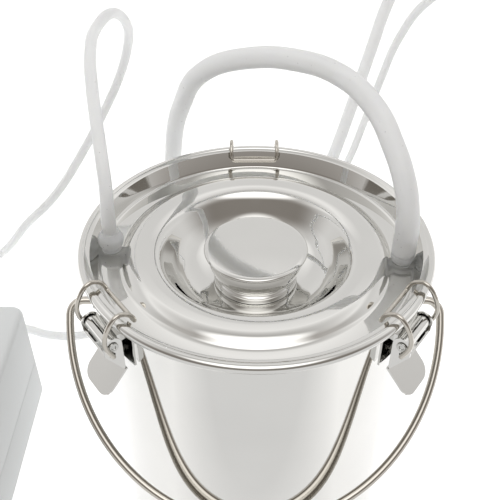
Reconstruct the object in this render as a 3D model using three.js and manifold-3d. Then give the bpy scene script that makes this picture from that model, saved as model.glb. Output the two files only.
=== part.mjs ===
// A portable bucket milking machine for two-teat animals: a stainless pail with a pressed lid held by
// three draw latches, a wire bail, a vacuum and pulsation unit in a moulded case, three hoses and a
// two-cup cluster. Millimetres, +Z up, origin at the centre of the pail's base.
import * as THREE from 'three';
import { mergeVertices } from 'three/addons/utils/BufferGeometryUtils.js';
import Module from 'manifold-3d';

const wasm = await Module();
wasm.setup();

// ---- driving dimensions -------------------------------------------------------------------------
const GAP = 0.3;                 // clearance between touching pieces
const SHEET = 1.0;               // stainless sheet thickness
const TURNED_SIDES = 28;         // facets round the pail and the lid

const PAIL = { radius: 109.5, height: 246.5, cornerRadius: 18, beadRadius: 2.1, beadR: 112.9, beadZ: 254.4 };
const ROLL = { r: 116.9, z: 259.8, radius: 3.2 };            // the lid's rolled edge
const LID = { dishZ: 225, annulusZ: 248.8, ringZ: 254, channelR: 107.3, wallTopR: 111.9, wallTopZ: 261.5 };
const STUD = { radius: 3, hole: 3.4 };                       // the knob's welded stud

const PORT_RISE = 14;                                        // a port's flange face to its hose's end
// outlines above the flange face: a cuff with sloping shoulders, and a collar with one groove
const VACUUM_PORT = {
  x: -99.9, y: 4, bore: 2.6, neck: 4.2,
  grip: [[6.9, 0], [6.9, 2.2], [8.3, 4.6], [9, 7], [9, 9.6], [8.2, 11.2], [6.2, PORT_RISE]],
};
const MILK_PORT = {
  x: 99.5, y: -9, bore: 4.6, neck: 5.4,
  grip: [[6.9, 0], [6.9, 1.7], [8, 2.8], [8, 5.4], [7.3, 6.2], [8, 7], [8, 9.6], [7, 11], [6.4, PORT_RISE]],
};

const LATCH_ANGLES = { back: 90, left: 216.5, right: 323.5 };
const LATCH = {
  halfWidth: 19, plateLow: 222, plateHigh: 246, plateR: 109.9, plateThick: 1.4,
  pivotX: 120.5, pivotZ: 242, hookX: 121.5, hookZ: 235.5,
  pinRadius: 2.1, barrelRadius: 4.6, barrelHalf: 12.8,
  earInside: 13.8, earThick: 1.2, wireRadius: 1.5, wireHalf: 18,
};

const LATCH_TAB = { half: 15.5, length: 26, corner: 8, flareDeg: 21 };

const BAIL = { wire: 3, half: 135, bend: 10, sweep: 149.5, pivotZ: 203, leanDeg: 45, pinEnd: 112.9 };
const BAIL_EAR = { face: 109.9, flange: 11, neck: 6.5, reach: 8, bore: 3.4 };

const CASE = {
  xLow: -396, xHigh: -206, yLow: -151, yHigh: 89, floor: 6, top: 115, seam: 51,
  wall: 2.5, corner: 12, edge: 5,
};
const PANEL = { gauge: { x: -350, z: 84 }, rocker: { x: -300, z: 84 }, knob: { x: -254, z: 84 } };
const BARB = { vacuumX: -350, pulseX: -305, inletX: -240, z: 30, neck: 4, flange: 7, stem: 3, length: 16 };
const FOOT = { radius: 9, inset: 24 };
const HOSE = { thin: 4.5, thick: 7.5 };
const CUP = {
  length: 128, x: { left: 334, right: 398 }, mouthY: 128, radius: 25, axisZ: 25.5,
  tail: 14, airRise: 30, airBack: 20,
};
const CLAW = {
  x: 366, y: 352, radius: 27, rimZ: 30, domeZ: 47,
  inletDx: 14, inletReach: 36, milkZ: 40, airDx: 7, airReach: 24, airZ: 55,
};
const SHORT_TUBE = { milk: 6.5, air: 3.8 };

// ---- finishes -----------------------------------------------------------------------------------
const finish = (color, roughness, metalness) => (
  new THREE.MeshStandardMaterial({ color, roughness, metalness })
);
const STEEL = () => finish(0xd8d8d2, 0.08, 1);
const WIRE = () => finish(0xa9a294, 0.15, 1);
const SILICONE = () => finish(0xe9ecea, 0.4, 0);
const CASE_PAINT = () => finish(0xdfe2e3, 0.45, 0);
const BLACK = () => finish(0x26282a, 0.5, 0);
const CLEAR = () => finish(0xe4ebee, 0.1, 0);
const BOARD = () => finish(0x1f6b3a, 0.6, 0);
const BRASS = () => finish(0xc6a04c, 0.3, 1);

// ---- geometry helpers ---------------------------------------------------------------------------
const rad = THREE.MathUtils.degToRad;

function signedVolume(geometry) {
  const p = geometry.attributes.position;
  const index = geometry.index;
  const count = index ? index.count : p.count;
  const at = (i) => new THREE.Vector3().fromBufferAttribute(p, index ? index.getX(i) : i);
  let total = 0;
  for (let i = 0; i < count; i += 3) total += at(i).dot(at(i + 1).cross(at(i + 2)));
  return total / 6;
}

/** A closed geometry of shared vertices whose faces point out. */
function closed(geometry) {
  const bare = new THREE.BufferGeometry();
  bare.setAttribute('position', geometry.attributes.position.clone());
  if (geometry.index) bare.setIndex(geometry.index.clone());
  const merged = mergeVertices(bare, 1e-4);
  const kept = [];
  const index = merged.index;
  const flip = signedVolume(merged) < 0;
  for (let i = 0; i < index.count; i += 3) {
    const [a, b, c] = [index.getX(i), index.getX(i + 1), index.getX(i + 2)];
    if (a !== b && b !== c && c !== a) kept.push(...(flip ? [a, c, b] : [a, b, c]));
  }
  merged.setIndex(kept);
  return merged;
}

function toSolid(geometry) {
  const g = closed(geometry);
  const vertProperties = new Float32Array(g.attributes.position.array);
  const triVerts = new Uint32Array(g.index.array);
  return new wasm.Manifold(new wasm.Mesh({ numProp: 3, vertProperties, triVerts }));
}

function fromSolid(solid) {
  const { vertProperties, triVerts } = solid.getMesh();
  const g = new THREE.BufferGeometry();
  g.setAttribute('position', new THREE.BufferAttribute(new Float32Array(vertProperties), 3));
  g.setIndex(Array.from(triVerts));
  return g;
}

const join = (...parts) => fromSolid(parts.map(toSolid).reduce((a, b) => a.add(b)));
const cut = (body, ...tools) => fromSolid(tools.map(toSolid).reduce((a, b) => a.subtract(b), toSolid(body)));

/** Turns an [r, z] outline about the Z axis; an outline clear of the axis is closed on itself. */
function turned(outline, sides = TURNED_SIDES) {
  const points = outline.map(([r, z]) => new THREE.Vector2(r, z));
  const onAxis = points[0].x === 0 && points[points.length - 1].x === 0;
  if (!onAxis) points.push(points[0].clone());
  const g = new THREE.LatheGeometry(points, sides);
  g.rotateX(Math.PI / 2);
  return closed(g);
}

/** Points of an arc in the [r, z] plane, angles in degrees. */
function arc(r, z, radius, from, to, steps) {
  const points = [];
  for (let i = 0; i <= steps; i += 1) {
    const a = rad(from + ((to - from) * i) / steps);
    points.push([r + radius * Math.cos(a), z + radius * Math.sin(a)]);
  }
  return points;
}

/** The line that lies a distance to the right of a polyline, with mitred corners. */
function offset(points, distance) {
  const normals = [];
  for (let i = 0; i + 1 < points.length; i += 1) {
    const dx = points[i + 1][0] - points[i][0];
    const dz = points[i + 1][1] - points[i][1];
    const length = Math.hypot(dx, dz);
    normals.push([dz / length, -dx / length]);
  }
  return points.map(([x, z], i) => {
    const a = normals[Math.max(i - 1, 0)];
    const b = normals[Math.min(i, normals.length - 1)];
    const scale = distance / (1 + a[0] * b[0] + a[1] * b[1]);
    return [x + (a[0] + b[0]) * scale, z + (a[1] + b[1]) * scale];
  });
}

/** A solid between two heights of an [x, y] outline, along +Z. */
function prism(outline, depth, holes = []) {
  const shape = new THREE.Shape(outline.map(([x, y]) => new THREE.Vector2(x, y)));
  shape.holes = holes.map((hole) => new THREE.Path(hole.map(([x, y]) => new THREE.Vector2(x, y))));
  return new THREE.ExtrudeGeometry(shape, { depth, bevelEnabled: false });
}

/** A plate whose [x, z] outline stands in the XZ plane and whose thickness runs from yLow to yHigh. */
function standing(outline, yLow, yHigh, holes = []) {
  const g = prism(outline, yHigh - yLow, holes);
  g.rotateX(Math.PI / 2);
  g.translate(0, yHigh, 0);
  return g;
}

function roundedRectangle(xLow, xHigh, yLow, yHigh, radius, steps = 4) {
  return [
    ...arc(xHigh - radius, yHigh - radius, radius, 0, 90, steps),
    ...arc(xLow + radius, yHigh - radius, radius, 90, 180, steps),
    ...arc(xLow + radius, yLow + radius, radius, 180, 270, steps),
    ...arc(xHigh - radius, yLow + radius, radius, 270, 360, steps),
  ];
}

const circle = (x, y, radius, sides = 12) => arc(x, y, radius, 0, 360 - 360 / sides, sides - 1);

/** A round bar along a curve, with flat ends. */
function bar(curve, radius, steps, sides = 8) {
  const shape = new THREE.Shape(circle(0, 0, radius, sides).map(([x, y]) => new THREE.Vector2(x, y)));
  return closed(new THREE.ExtrudeGeometry(shape, { steps, extrudePath: curve, bevelEnabled: false }));
}

function spline(points) {
  const places = points.map((p) => new THREE.Vector3(...p));
  return new THREE.CatmullRomCurve3(places, false, 'centripetal');
}

/** A path of straight runs whose corners are rounded off. */
function bentWire(points, radius) {
  const p = points.map((q) => new THREE.Vector3(...q));
  const path = new THREE.CurvePath();
  let from = p[0];
  for (let i = 1; i + 1 < p.length; i += 1) {
    const trim = (a, b) => a.clone().add(b.clone().sub(a).setLength(Math.min(radius, a.distanceTo(b) / 2)));
    const start = trim(p[i], p[i - 1]);
    const end = trim(p[i], p[i + 1]);
    if (from.distanceTo(start) > 1e-6) path.add(new THREE.LineCurve3(from, start));
    path.add(new THREE.QuadraticBezierCurve3(start, p[i], end));
    from = end;
  }
  path.add(new THREE.LineCurve3(from, p[p.length - 1]));
  return path;
}

function cylinder(radius, low, high, axis = 'z', sides = 16) {
  const g = new THREE.CylinderGeometry(radius, radius, high - low, sides);
  g.translate(0, (low + high) / 2, 0);
  if (axis === 'z') g.rotateX(Math.PI / 2);
  if (axis === 'x') g.rotateZ(-Math.PI / 2);
  return g;
}

/** A block between pairs of [low, high] along each axis. */
function block([xLow, xHigh], [yLow, yHigh], [zLow, zHigh]) {
  const g = new THREE.BoxGeometry(xHigh - xLow, yHigh - yLow, zHigh - zLow);
  g.translate((xLow + xHigh) / 2, (yLow + yHigh) / 2, (zLow + zHigh) / 2);
  return g;
}

/** A span of a given half width about a middle. */
const about = (middle, half) => [middle - half, middle + half];

const moved = (geometry, x, y, z) => geometry.translate(x, y, z);

function part(name, geometry, material, parent) {
  const mesh = new THREE.Mesh(geometry, material);
  mesh.name = name;
  parent.add(mesh);
  return mesh;
}

// ---- pail ---------------------------------------------------------------------------------------
const machine = new THREE.Group();
machine.name = 'milking_machine';

function pailOutline() {
  const corner = PAIL.cornerRadius;
  const flatR = PAIL.radius - corner;
  const ringBead = [[60, 0], [62, 1.2], [68, 1.2], [70, 0]];
  const turnUp = arc(flatR, corner, corner, 270, 360, 4);
  const outside = [[0, 0], ...ringBead, ...turnUp, [PAIL.radius, PAIL.height]];
  const inside = offset(outside, -SHEET);
  inside[0][0] = 0;
  const bead = arc(PAIL.beadR, PAIL.beadZ, PAIL.beadRadius, -110, 190, 5);
  return [...outside, ...bead, ...inside.reverse()];
}

function bailEar(side) {
  const far = BAIL_EAR.reach;
  const outline = [
    [0, 0], [BAIL_EAR.flange, 0], [BAIL_EAR.flange, 1.4], [BAIL_EAR.neck + 1.5, 2.2], [BAIL_EAR.neck, 3.4],
    [BAIL_EAR.neck, far], [BAIL_EAR.bore, far], [BAIL_EAR.bore, 2.2], [0, 2.2],
  ];
  const g = turned(outline, 14);
  g.rotateY(Math.PI / 2);
  g.translate(BAIL_EAR.face, 0, BAIL.pivotZ);
  if (side < 0) g.rotateZ(Math.PI);
  return g;
}

/** The bail hangs forward from its two pivots, leaning against the pail's front wall. */
function bailPath() {
  const lean = rad(BAIL.leanDeg);
  const place = (x, drop) => [x, -drop * Math.sin(lean), BAIL.pivotZ - drop * Math.cos(lean)];
  const eye = [place(-BAIL.pinEnd, 0), place(BAIL.bend - BAIL.half, 0)];
  const inCorner = BAIL.bend * (1 - Math.SQRT1_2);
  const left = [...eye, place(inCorner - BAIL.half, inCorner)];
  const sweepSteps = 12;
  const bow = [];
  for (let i = 0; i <= sweepSteps; i += 1) {
    const a = Math.PI * (1 - i / sweepSteps);
    bow.push(place(BAIL.half * Math.cos(a), BAIL.bend + BAIL.sweep * Math.sin(a)));
  }
  const right = left.map(([x, y, z]) => [-x, y, z]).reverse();
  return spline([...left, ...bow, ...right]);
}

function buildPail() {
  const pail = new THREE.Group();
  part('bucket_body', turned(pailOutline()), STEEL(), pail);
  part('bail_ear_left', bailEar(-1), STEEL(), pail);
  part('bail_ear_right', bailEar(1), STEEL(), pail);
  part('bail_handle', bar(bailPath(), BAIL.wire, 72, 6), WIRE(), pail);
  return pail;
}

// ---- lid ----------------------------------------------------------------------------------------
function lidOutline() {
  const dish = [[STUD.hole, LID.dishZ], [30, LID.dishZ], [40, 226.4], [49, 230.6], [56.5, 237.6]];
  const crest = [[74, LID.ringZ], [84, LID.ringZ]];
  const ring = [[64.8, 250.2], [68, 252.9], ...crest, [88, 252.6], [92.6, LID.annulusZ]];
  const channel = [[LID.channelR, LID.annulusZ], [LID.wallTopR, LID.wallTopZ]];
  const top = [...dish, ...ring, ...channel];
  const under = offset(top, SHEET);
  under[under.length - 1] = [LID.wallTopR + 0.9, LID.wallTopZ - 0.8];
  const roll = arc(ROLL.r, ROLL.z, ROLL.radius, 138, -200, 8);
  return [...top, ...roll, ...under.reverse()];
}

function gasketOutline() {
  return [[111.8, 256.9], [114.2, 256.9], [113.4, 258.8], [112.4, 258.8]];
}

function knobOutline() {
  const skin = [
    [0, 253.5], [33.5, 253.5], [35.4, 252.9], [36, 251.6], [35.2, 250.4], [32.8, 249.6],
    [33, 244], [31, 237.4], [26.4, 232], [29, 229.8], [29.4, 226.4], [28.4, 225.4],
  ];
  const inside = offset(skin, 1.2);
  inside[0][0] = 5;
  const weld = LID.dishZ + 0.4;
  const stud = [[5, weld], [STUD.radius, weld], [STUD.radius, 212], [2, 211], [0, 211]];
  return [...skin, ...inside.reverse(), ...stud];
}

function knobNut() {
  const hex = arc(0, 0, 6.4, 0, 300, 5);
  return moved(prism(hex, 5, [circle(0, 0, STUD.radius + GAP, 16)]), 0, 0, 216.8);
}

/** A hose fitting through the lid: a soft grip on top, on a neck that carries a nut below. */
function lidPort({ x, y, bore, neck, grip }) {
  const face = LID.annulusZ + GAP;
  const low = LID.annulusZ - 12;
  const above = grip.map(([r, rise]) => [r, face + rise]);
  const outline = [[bore, low], [neck, low], [neck, face], ...above, [bore, face + PORT_RISE]];
  return moved(turned(outline, 14), x, y, 0);
}

function portNut({ x, y, neck }) {
  const thick = 5;
  const hex = arc(0, 0, neck + 2.6, 0, 300, 5);
  return moved(prism(hex, thick, [circle(0, 0, neck + GAP)]), x, y, LID.annulusZ - SHEET - GAP - thick);
}

function buildLid() {
  const lid = new THREE.Group();
  const ports = { vacuum: VACUUM_PORT, milk: MILK_PORT };
  const holes = Object.values(ports).map(({ x, y, neck }) => moved(cylinder(neck + GAP, 240, 256), x, y, 0));
  const washer = [[STUD.hole, 222.4], [9, 222.4], [9, 223.6], [STUD.hole, 223.6]];
  part('lid', cut(turned(lidOutline()), ...holes), STEEL(), lid);
  part('lid_gasket', turned(gasketOutline()), SILICONE(), lid);
  part('lid_knob', turned(knobOutline(), 18), STEEL(), lid);
  part('knob_washer', turned(washer, 16), SILICONE(), lid);
  part('knob_nut', knobNut(), STEEL(), lid);
  for (const [name, port] of Object.entries(ports)) {
    part(`${name}_port`, lidPort(port), SILICONE(), lid);
    part(`${name}_port_nut`, portNut(port), SILICONE(), lid);
  }
  return lid;
}

// ---- draw latches: local +X points out of the pail, +Y runs along its wall ------------------------
function latchPlate() {
  const half = THREE.MathUtils.radToDeg(Math.asin(LATCH.halfWidth / LATCH.plateR));
  const outer = arc(0, 0, LATCH.plateR + LATCH.plateThick, -half, half, 6);
  const inner = arc(0, 0, LATCH.plateR, half, -half, 6);
  return moved(prism([...outer, ...inner], LATCH.plateHigh - LATCH.plateLow), 0, 0, LATCH.plateLow);
}

/** Wall plate, arm and rolled barrel in one pressing, with the seam of the roll on top. */
function latchBracket() {
  const { pivotX: x, pivotZ: z, barrelRadius, barrelHalf } = LATCH;
  const armRoot = LATCH.plateR + 0.6;
  const arm = [[armRoot, 245.4], [armRoot, 240], [x - 2, z - 3.8], [x - 2, z + 3.8]];
  const barrel = moved(cylinder(barrelRadius, -barrelHalf, barrelHalf, 'y', 18), x, 0, z);
  const bore = moved(cylinder(LATCH.pinRadius + GAP, -20, 20, 'y', 14), x, 0, z);
  const seam = block([x + 0.6, x + 1.6], [-10, 10], [z + 1, z + 8]);
  return cut(join(latchPlate(), standing(arm, -11, 11), barrel), bore, seam);
}

function latchPin() {
  const end = LATCH.earInside + LATCH.earThick + GAP;
  const rise = end + 0.9;
  const peen = [[1.6, rise], [1.3, end + 0.2], [0, end + 0.2]];
  const head = [[LATCH.pinRadius, end], [3.5, end], [3.2, rise], ...peen];
  const otherHead = head.map(([r, z]) => [r, -z]).reverse();
  const g = turned([...otherHead, ...head], 8);
  g.rotateX(Math.PI / 2);
  return moved(g, LATCH.pivotX, 0, LATCH.pivotZ);
}

/** Two ears on a sloping web that bends out into a rounded thumb tab. */
function latchLever() {
  const { pivotX: x, pivotZ: z, earInside, earThick, hookX, hookZ } = LATCH;
  const heel = [x + 5.8, z - 6];
  const toe = [x - 5.6, z - 23.4];
  const ear = [...arc(x, z, 6.3, 180, -20, 7), heel, toe, [x - 6.4, z - 21.4]];
  const eye = circle(hookX, hookZ, LATCH.wireRadius + 0.6, 10);
  const holes = [circle(x, z, LATCH.pinRadius + GAP, 10), eye];
  const ears = [-1, 1].map((side) => {
    const near = side * earInside;
    const far = side * (earInside + earThick);
    return standing(ear, Math.min(near, far), Math.max(near, far), holes);
  });
  const slope = [heel, toe, ...offset([heel, toe], earThick).reverse()];
  const web = standing(slope, -earInside - 1, earInside + 1);
  return join(...ears, web, latchTab(toe));
}

/** The rounded thumb tab, flaring down and out from the toe of the lever's web. */
function latchTab(toe) {
  const { half, length, corner } = LATCH_TAB;
  const left = arc(corner - half, corner - length, corner, 180, 270, 4);
  const right = arc(half - corner, corner - length, corner, 270, 360, 4);
  const tab = prism([[-half, 1], ...left, ...right, [half, 1]], LATCH.earThick);
  const up = new THREE.Vector3(-Math.sin(rad(LATCH_TAB.flareDeg)), 0, Math.cos(rad(LATCH_TAB.flareDeg)));
  const along = new THREE.Vector3(0, 1, 0);
  const placed = new THREE.Matrix4().makeBasis(along, up, along.clone().cross(up));
  placed.setPosition(toe[0] - 0.3, 0, toe[1]);
  return tab.applyMatrix4(placed);
}

function latchWire() {
  const { hookX, hookZ, wireHalf, earInside } = LATCH;
  const side = [
    [hookX, hookZ], [125.8, 244.3], [127, 250.5], [125.4, 257.5], [121, 264.8], [116.3, 268.2], [111.2, 267],
    [106.6, 262.5], [105, 257],
  ];
  const leg = side.map(([x, z]) => [x, wireHalf, z]);
  const other = leg.map(([x, y, z]) => [x, -y, z]).reverse();
  const end = earInside - 0.6;
  const path = bentWire([[hookX, end, hookZ], ...leg, ...other, [hookX, -end, hookZ]], 2.6);
  return bar(path, LATCH.wireRadius, 28, 6);
}

function buildLatch(where, angle) {
  const latch = new THREE.Group();
  latch.rotation.z = rad(angle);
  part(`latch_bracket_${where}`, latchBracket(), STEEL(), latch);
  part(`latch_pin_${where}`, latchPin(), STEEL(), latch);
  part(`latch_lever_${where}`, latchLever(), STEEL(), latch);
  part(`latch_wire_${where}`, latchWire(), WIRE(), latch);
  return latch;
}

// ---- vacuum and pulsation unit --------------------------------------------------------------------
const inCase = (fraction) => CASE.xLow + fraction * (CASE.xHigh - CASE.xLow);

/** A block with rounded upright edges, softened top and bottom edges, from low to high. */
function softBlock(inset, low, high, edge, corner, bevelSegments) {
  const margin = inset + edge;
  const [xLow, xHigh] = [CASE.xLow + margin, CASE.xHigh - margin];
  const [yLow, yHigh] = [CASE.yLow + margin, CASE.yHigh - margin];
  const outline = roundedRectangle(xLow, xHigh, yLow, yHigh, corner - edge, 3);
  const shape = new THREE.Shape(outline.map(([x, y]) => new THREE.Vector2(x, y)));
  const depth = high - low - 2 * edge;
  const options = { depth, bevelEnabled: true, bevelThickness: edge, bevelSize: edge, bevelSegments };
  return moved(new THREE.ExtrudeGeometry(shape, options), 0, 0, low + edge);
}

/** Everything of the case between two heights. */
const slab = (low, high) => (
  block([CASE.xLow - 5, CASE.xHigh + 5], [CASE.yLow - 5, CASE.yHigh + 5], [low, high])
);

/** A straight hole through the case's front or rear wall. */
function wallHole(x, z, radius, face) {
  return moved(cylinder(radius, face - 6, face + 6, 'y'), x, 0, z);
}

function pumpCover() {
  const { seam, top, wall, corner, edge } = CASE;
  const inside = softBlock(wall, 20, top - wall, 1.5, corner - wall, 1);
  const { gauge, knob, rocker } = PANEL;
  const rockerHole = block(about(rocker.x, 12), about(CASE.yLow, 6), about(rocker.z, 8.8));
  const round = [gauge, knob].map(({ x, z }) => wallHole(x, z, 5, CASE.yLow));
  const front = [...round, rockerHole];
  return cut(softBlock(0, 20, top, edge, corner, 3), slab(0, seam + GAP / 2), inside, ...front);
}

function pumpBase() {
  const { seam, floor, wall, corner, edge } = CASE;
  const inside = softBlock(wall, floor + wall, 90, 1.5, corner - wall, 1);
  const rear = [BARB.vacuumX, BARB.pulseX].map((x) => wallHole(x, BARB.z, BARB.neck + GAP, CASE.yHigh));
  rear.push(wallHole(BARB.inletX, BARB.z, 5.5, CASE.yHigh));
  return cut(softBlock(0, floor, 90, edge, corner, 3), slab(seam - GAP / 2, 100), inside, ...rear);
}

function pumpFoot(x, y) {
  const { radius } = FOOT;
  const high = CASE.floor - GAP;
  const outline = [[0, 0], [radius - 1.5, 0], [radius, 1.2], [radius - 0.8, high], [0, high]];
  return moved(turned(outline, 12), x, y, 0);
}

/** A hose barb through the rear wall: neck inside, flange outside, two ridges on the stem. */
function rearBarb(x) {
  const { neck, flange, stem, length } = BARB;
  const outline = [
    [0, -14], [neck, -14], [neck, GAP], [flange, GAP], [flange, 3.3], [stem, 3.3],
    [stem, 6], [stem + 0.8, 6.5],
    [stem, 10], [stem + 0.8, 10.5], [stem, length], [1.4, length], [1.4, -10], [0, -10],
  ];
  const g = turned(outline, 10);
  g.rotateX(-Math.PI / 2);
  return moved(g, x, CASE.yHigh, BARB.z);
}

/** Turned about an axis out of the case's front, so an outline's z is the reach. */
function frontPiece(outline, spot, sides = 16) {
  const g = turned(outline, sides);
  g.rotateX(Math.PI / 2);
  return moved(g, spot.x, CASE.yLow - GAP, spot.z);
}

function gaugeNeedle() {
  const needle = prism([[-1.1, -4], [1.1, -4], [0.35, 12], [-0.35, 12]], 0.6);
  needle.rotateX(Math.PI / 2);
  needle.rotateY(rad(-135));
  return moved(needle, PANEL.gauge.x, CASE.yLow - 7.4, PANEL.gauge.z);
}

function regulatorKnob() {
  const grip = [[0, 2], [11, 2], [11, 4], [9.6, 5], [9, 14], [8, 15], [0, 15]];
  const shaft = [[0, -9], [3.2, -9], [3.2, 2.5], [0, 2.5]];
  const { x, z } = PANEL.knob;
  const pointer = moved(block([-0.8, 0.8], [-16, -4], [2, 9.4]), x, CASE.yLow - GAP, z);
  return join(frontPiece(grip, PANEL.knob), frontPiece(shaft, PANEL.knob, 12), pointer);
}

/** A rocker that tips about a pin along X, with its two faces at a shallow angle. */
function rockerSwitch() {
  const { x, z } = PANEL.rocker;
  const outline = [[-4.6, 5.6], [-1.8, 0], [-0.6, -5.6], [6, -4.5], [6, 4.5]];
  const g = moved(prism(outline.reverse(), 20), 0, 0, -10);
  g.rotateY(Math.PI / 2);
  g.rotateX(Math.PI / 2);
  return moved(closed(g), x, CASE.yLow, z);
}

function vacuumMotor(x, deck, axisZ) {
  const barrel = moved(cylinder(24, -95, -30, 'y', 20), x, 0, axisZ);
  return join(barrel, block(about(x, 20), [-88, -38], [deck, axisZ - 15]));
}

/** Diaphragm head on the motor's end, with its two air nipples. */
function pumpHead(x, deck, axisZ) {
  const nipples = [-12, 12].map((dx) => moved(cylinder(4, 14, 30, 'y', 12), x + dx, 0, axisZ + 12));
  return join(block(about(x, 25), [-29, 15], [deck, axisZ + 25]), ...nipples);
}

/** Valve block with its solenoid standing on it. */
function pulsatorValve(x, deck) {
  const coil = moved(cylinder(10, deck + 25, deck + 44), x, 30, 0);
  return join(block(about(x, 14), about(30, 20), [deck, deck + 26]), coil);
}

/** Circuit board on four posts, carrying one large component. */
function controlBoard(deck) {
  const posts = [];
  for (const x of [inCase(0.62), inCase(0.9)]) {
    for (const y of [-112, -38]) posts.push(moved(cylinder(2.5, deck, deck + 6.5, 'z', 8), x, y, 0));
  }
  const sheet = block([inCase(0.58), inCase(0.94)], [-120, -30], [deck + 6, deck + 7.6]);
  return join(sheet, ...posts, block([inCase(0.66), inCase(0.8)], [-100, -70], [deck + 7, deck + 14]));
}

function buildPumpInternals(unit) {
  const deck = CASE.floor + CASE.wall + GAP;
  const motorX = inCase(0.3);
  const motorZ = deck + 27;
  part('vacuum_motor', vacuumMotor(motorX, deck, motorZ), STEEL(), unit);
  part('pump_head', pumpHead(motorX, deck, motorZ), BLACK(), unit);
  part('pulsator_valve', pulsatorValve(inCase(0.72), deck), BRASS(), unit);
  part('control_board', controlBoard(deck), BOARD(), unit);
}

/** The vacuum gauge on the case's front: case, dial, needle and lens. */
function buildGauge(unit) {
  const rim = [[4.5, 0], [19, 0], [20, 1], [20, 9], [19, 10], [17.6, 10], [17.6, 3]];
  const glazed = (low, high) => frontPiece([[0, low], [17.2, low], [17.2, high], [0, high]], PANEL.gauge);
  part('gauge_case', frontPiece([[0, -8], [4.5, -8], ...rim, [0, 3]], PANEL.gauge), BLACK(), unit);
  part('gauge_dial', glazed(3.3, 4.3), CASE_PAINT(), unit);
  part('gauge_needle', gaugeNeedle(), BLACK(), unit);
  part('gauge_lens', glazed(8.6, 9.8), CLEAR(), unit);
}

function buildPump() {
  const unit = new THREE.Group();
  part('pump_base', pumpBase(), CASE_PAINT(), unit);
  part('pump_cover', pumpCover(), CASE_PAINT(), unit);
  const rows = { front: CASE.yLow + FOOT.inset, rear: CASE.yHigh - FOOT.inset };
  const sides = { left: CASE.xLow + FOOT.inset, right: CASE.xHigh - FOOT.inset };
  for (const [row, y] of Object.entries(rows)) {
    for (const [side, x] of Object.entries(sides)) {
      part(`pump_foot_${row}_${side}`, pumpFoot(x, y), BLACK(), unit);
    }
  }
  part('vacuum_barb', rearBarb(BARB.vacuumX), BLACK(), unit);
  part('pulse_barb', rearBarb(BARB.pulseX), BLACK(), unit);
  const inlet = turned([[0, -6], [5, -6], [5, GAP], [7, GAP], [7, 2], [3.5, 2], [3.5, -4], [0, -4]], 12);
  inlet.rotateX(-Math.PI / 2);
  part('power_inlet', moved(inlet, BARB.inletX, CASE.yHigh, BARB.z), BLACK(), unit);
  buildGauge(unit);
  part('regulator_knob', regulatorKnob(), BLACK(), unit);
  const window = roundedRectangle(-11, 11, -8.2, 8.2, 0.5, 1);
  const bezel = standing(roundedRectangle(-15, 15, -11, 11, 2, 2), -2, 0, [window]);
  part('switch_bezel', moved(bezel, PANEL.rocker.x, CASE.yLow - GAP, PANEL.rocker.z), BLACK(), unit);
  part('switch_rocker', rockerSwitch(), BLACK(), unit);
  buildPumpInternals(unit);
  return unit;
}

// ---- teat-cup cluster, lying beside the pail ------------------------------------------------------
/** Turned about an axis that runs along -Y from a tail at yTail, so an outline's z is the reach. */
function alongMinusY(outline, x, yTail, z, sides) {
  const g = turned(outline, sides);
  g.rotateX(Math.PI / 2);
  return moved(g, x, yTail, z);
}

function cupShell(x, tailY) {
  const { length, radius } = CUP;
  const rim = radius - 1.5;
  const outside = [[12, 0], [15, 2], [18, 8], [20.5, 22], [22, 60], [rim, length - 8], [rim, length]];
  const inside = offset(outside, -1.4).reverse();
  const tube = alongMinusY([...outside, ...inside], x, tailY, CUP.axisZ, 14);
  const inlet = moved(cylinder(3.2, 18, CUP.airRise, 'z', 10), x, tailY - CUP.airBack, CUP.axisZ);
  const bore = moved(cylinder(1.6, 12, CUP.airRise + 2, 'z', 8), x, tailY - CUP.airBack, CUP.axisZ);
  return cut(join(tube, inlet), bore);
}

/** Soft sleeve inside a shell: a lip over its mouth, a bore for the teat, and a tail through its end. */
function cupLiner(x, tailY) {
  const { length, radius } = CUP;
  const inRim = radius - 3.4;
  const lip = [[inRim, length - 3], [inRim, length + GAP], [radius, length + GAP], [radius, length + 7]];
  const mouth = [[radius - 3, length + 11], [12, length + 12.4], [11, length + 11], [11, length + 9]];
  const bore = [[16.5, length + 5], [16.5, length - 4], [10.4, length - 14], [9.4, 30], [5, 0], [5, -14]];
  const outside = [[7.4, -14], [7.4, -2], [7, 0], [10.4, 28], [11.8, length - 16], [17.8, length - 6]];
  return alongMinusY([...outside, ...lip, ...mouth, ...bore], x, tailY, CUP.axisZ, 14);
}

function clawBowl() {
  const { radius, x, y } = CLAW;
  const outside = [[0, 0], [radius - 9, 0], [radius - 4, 2], [radius, 10], [radius, CLAW.rimZ]];
  const inside = [[radius - 2, CLAW.rimZ], [radius - 2, 11], [radius - 6, 4], [radius - 10, 2], [0, 2]];
  return moved(turned([...outside, ...inside], 16), x, y, 0);
}

/** A round nipple of the claw, along Y from the bowl's axis. */
function nipple(radius, from, to, z, dx = 0) {
  return moved(cylinder(radius, from, to, 'y', 12), CLAW.x + dx, CLAW.y, z);
}

function clawCap() {
  const { radius, x, y, rimZ, domeZ, inletDx, inletReach, milkZ } = CLAW;
  const low = rimZ + GAP;
  const skirt = [[radius + 1, low], [radius + 1, low + 5]];
  const dome = [[0, low], ...skirt, [radius - 2, 44], [14, domeZ], [0, domeZ]];
  const inlets = [-inletDx, inletDx].map((dx) => nipple(5.2, -inletReach, -10, milkZ, dx));
  return join(moved(turned(dome, 16), x, y, 0), nipple(5.6, 10, radius + 12, milkZ), ...inlets);
}

function airDistributor() {
  const { x, y, domeZ, airDx, airReach, airZ } = CLAW;
  const low = domeZ + GAP;
  const body = moved(turned([[0, low], [13, low], [13, 59], [11, 61], [0, 61]], 12), x, y, 0);
  const outlets = [-airDx, airDx].map((dx) => nipple(2.8, -airReach, -4, airZ, dx));
  return join(body, nipple(3.2, 4, 25, airZ), ...outlets);
}

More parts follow.
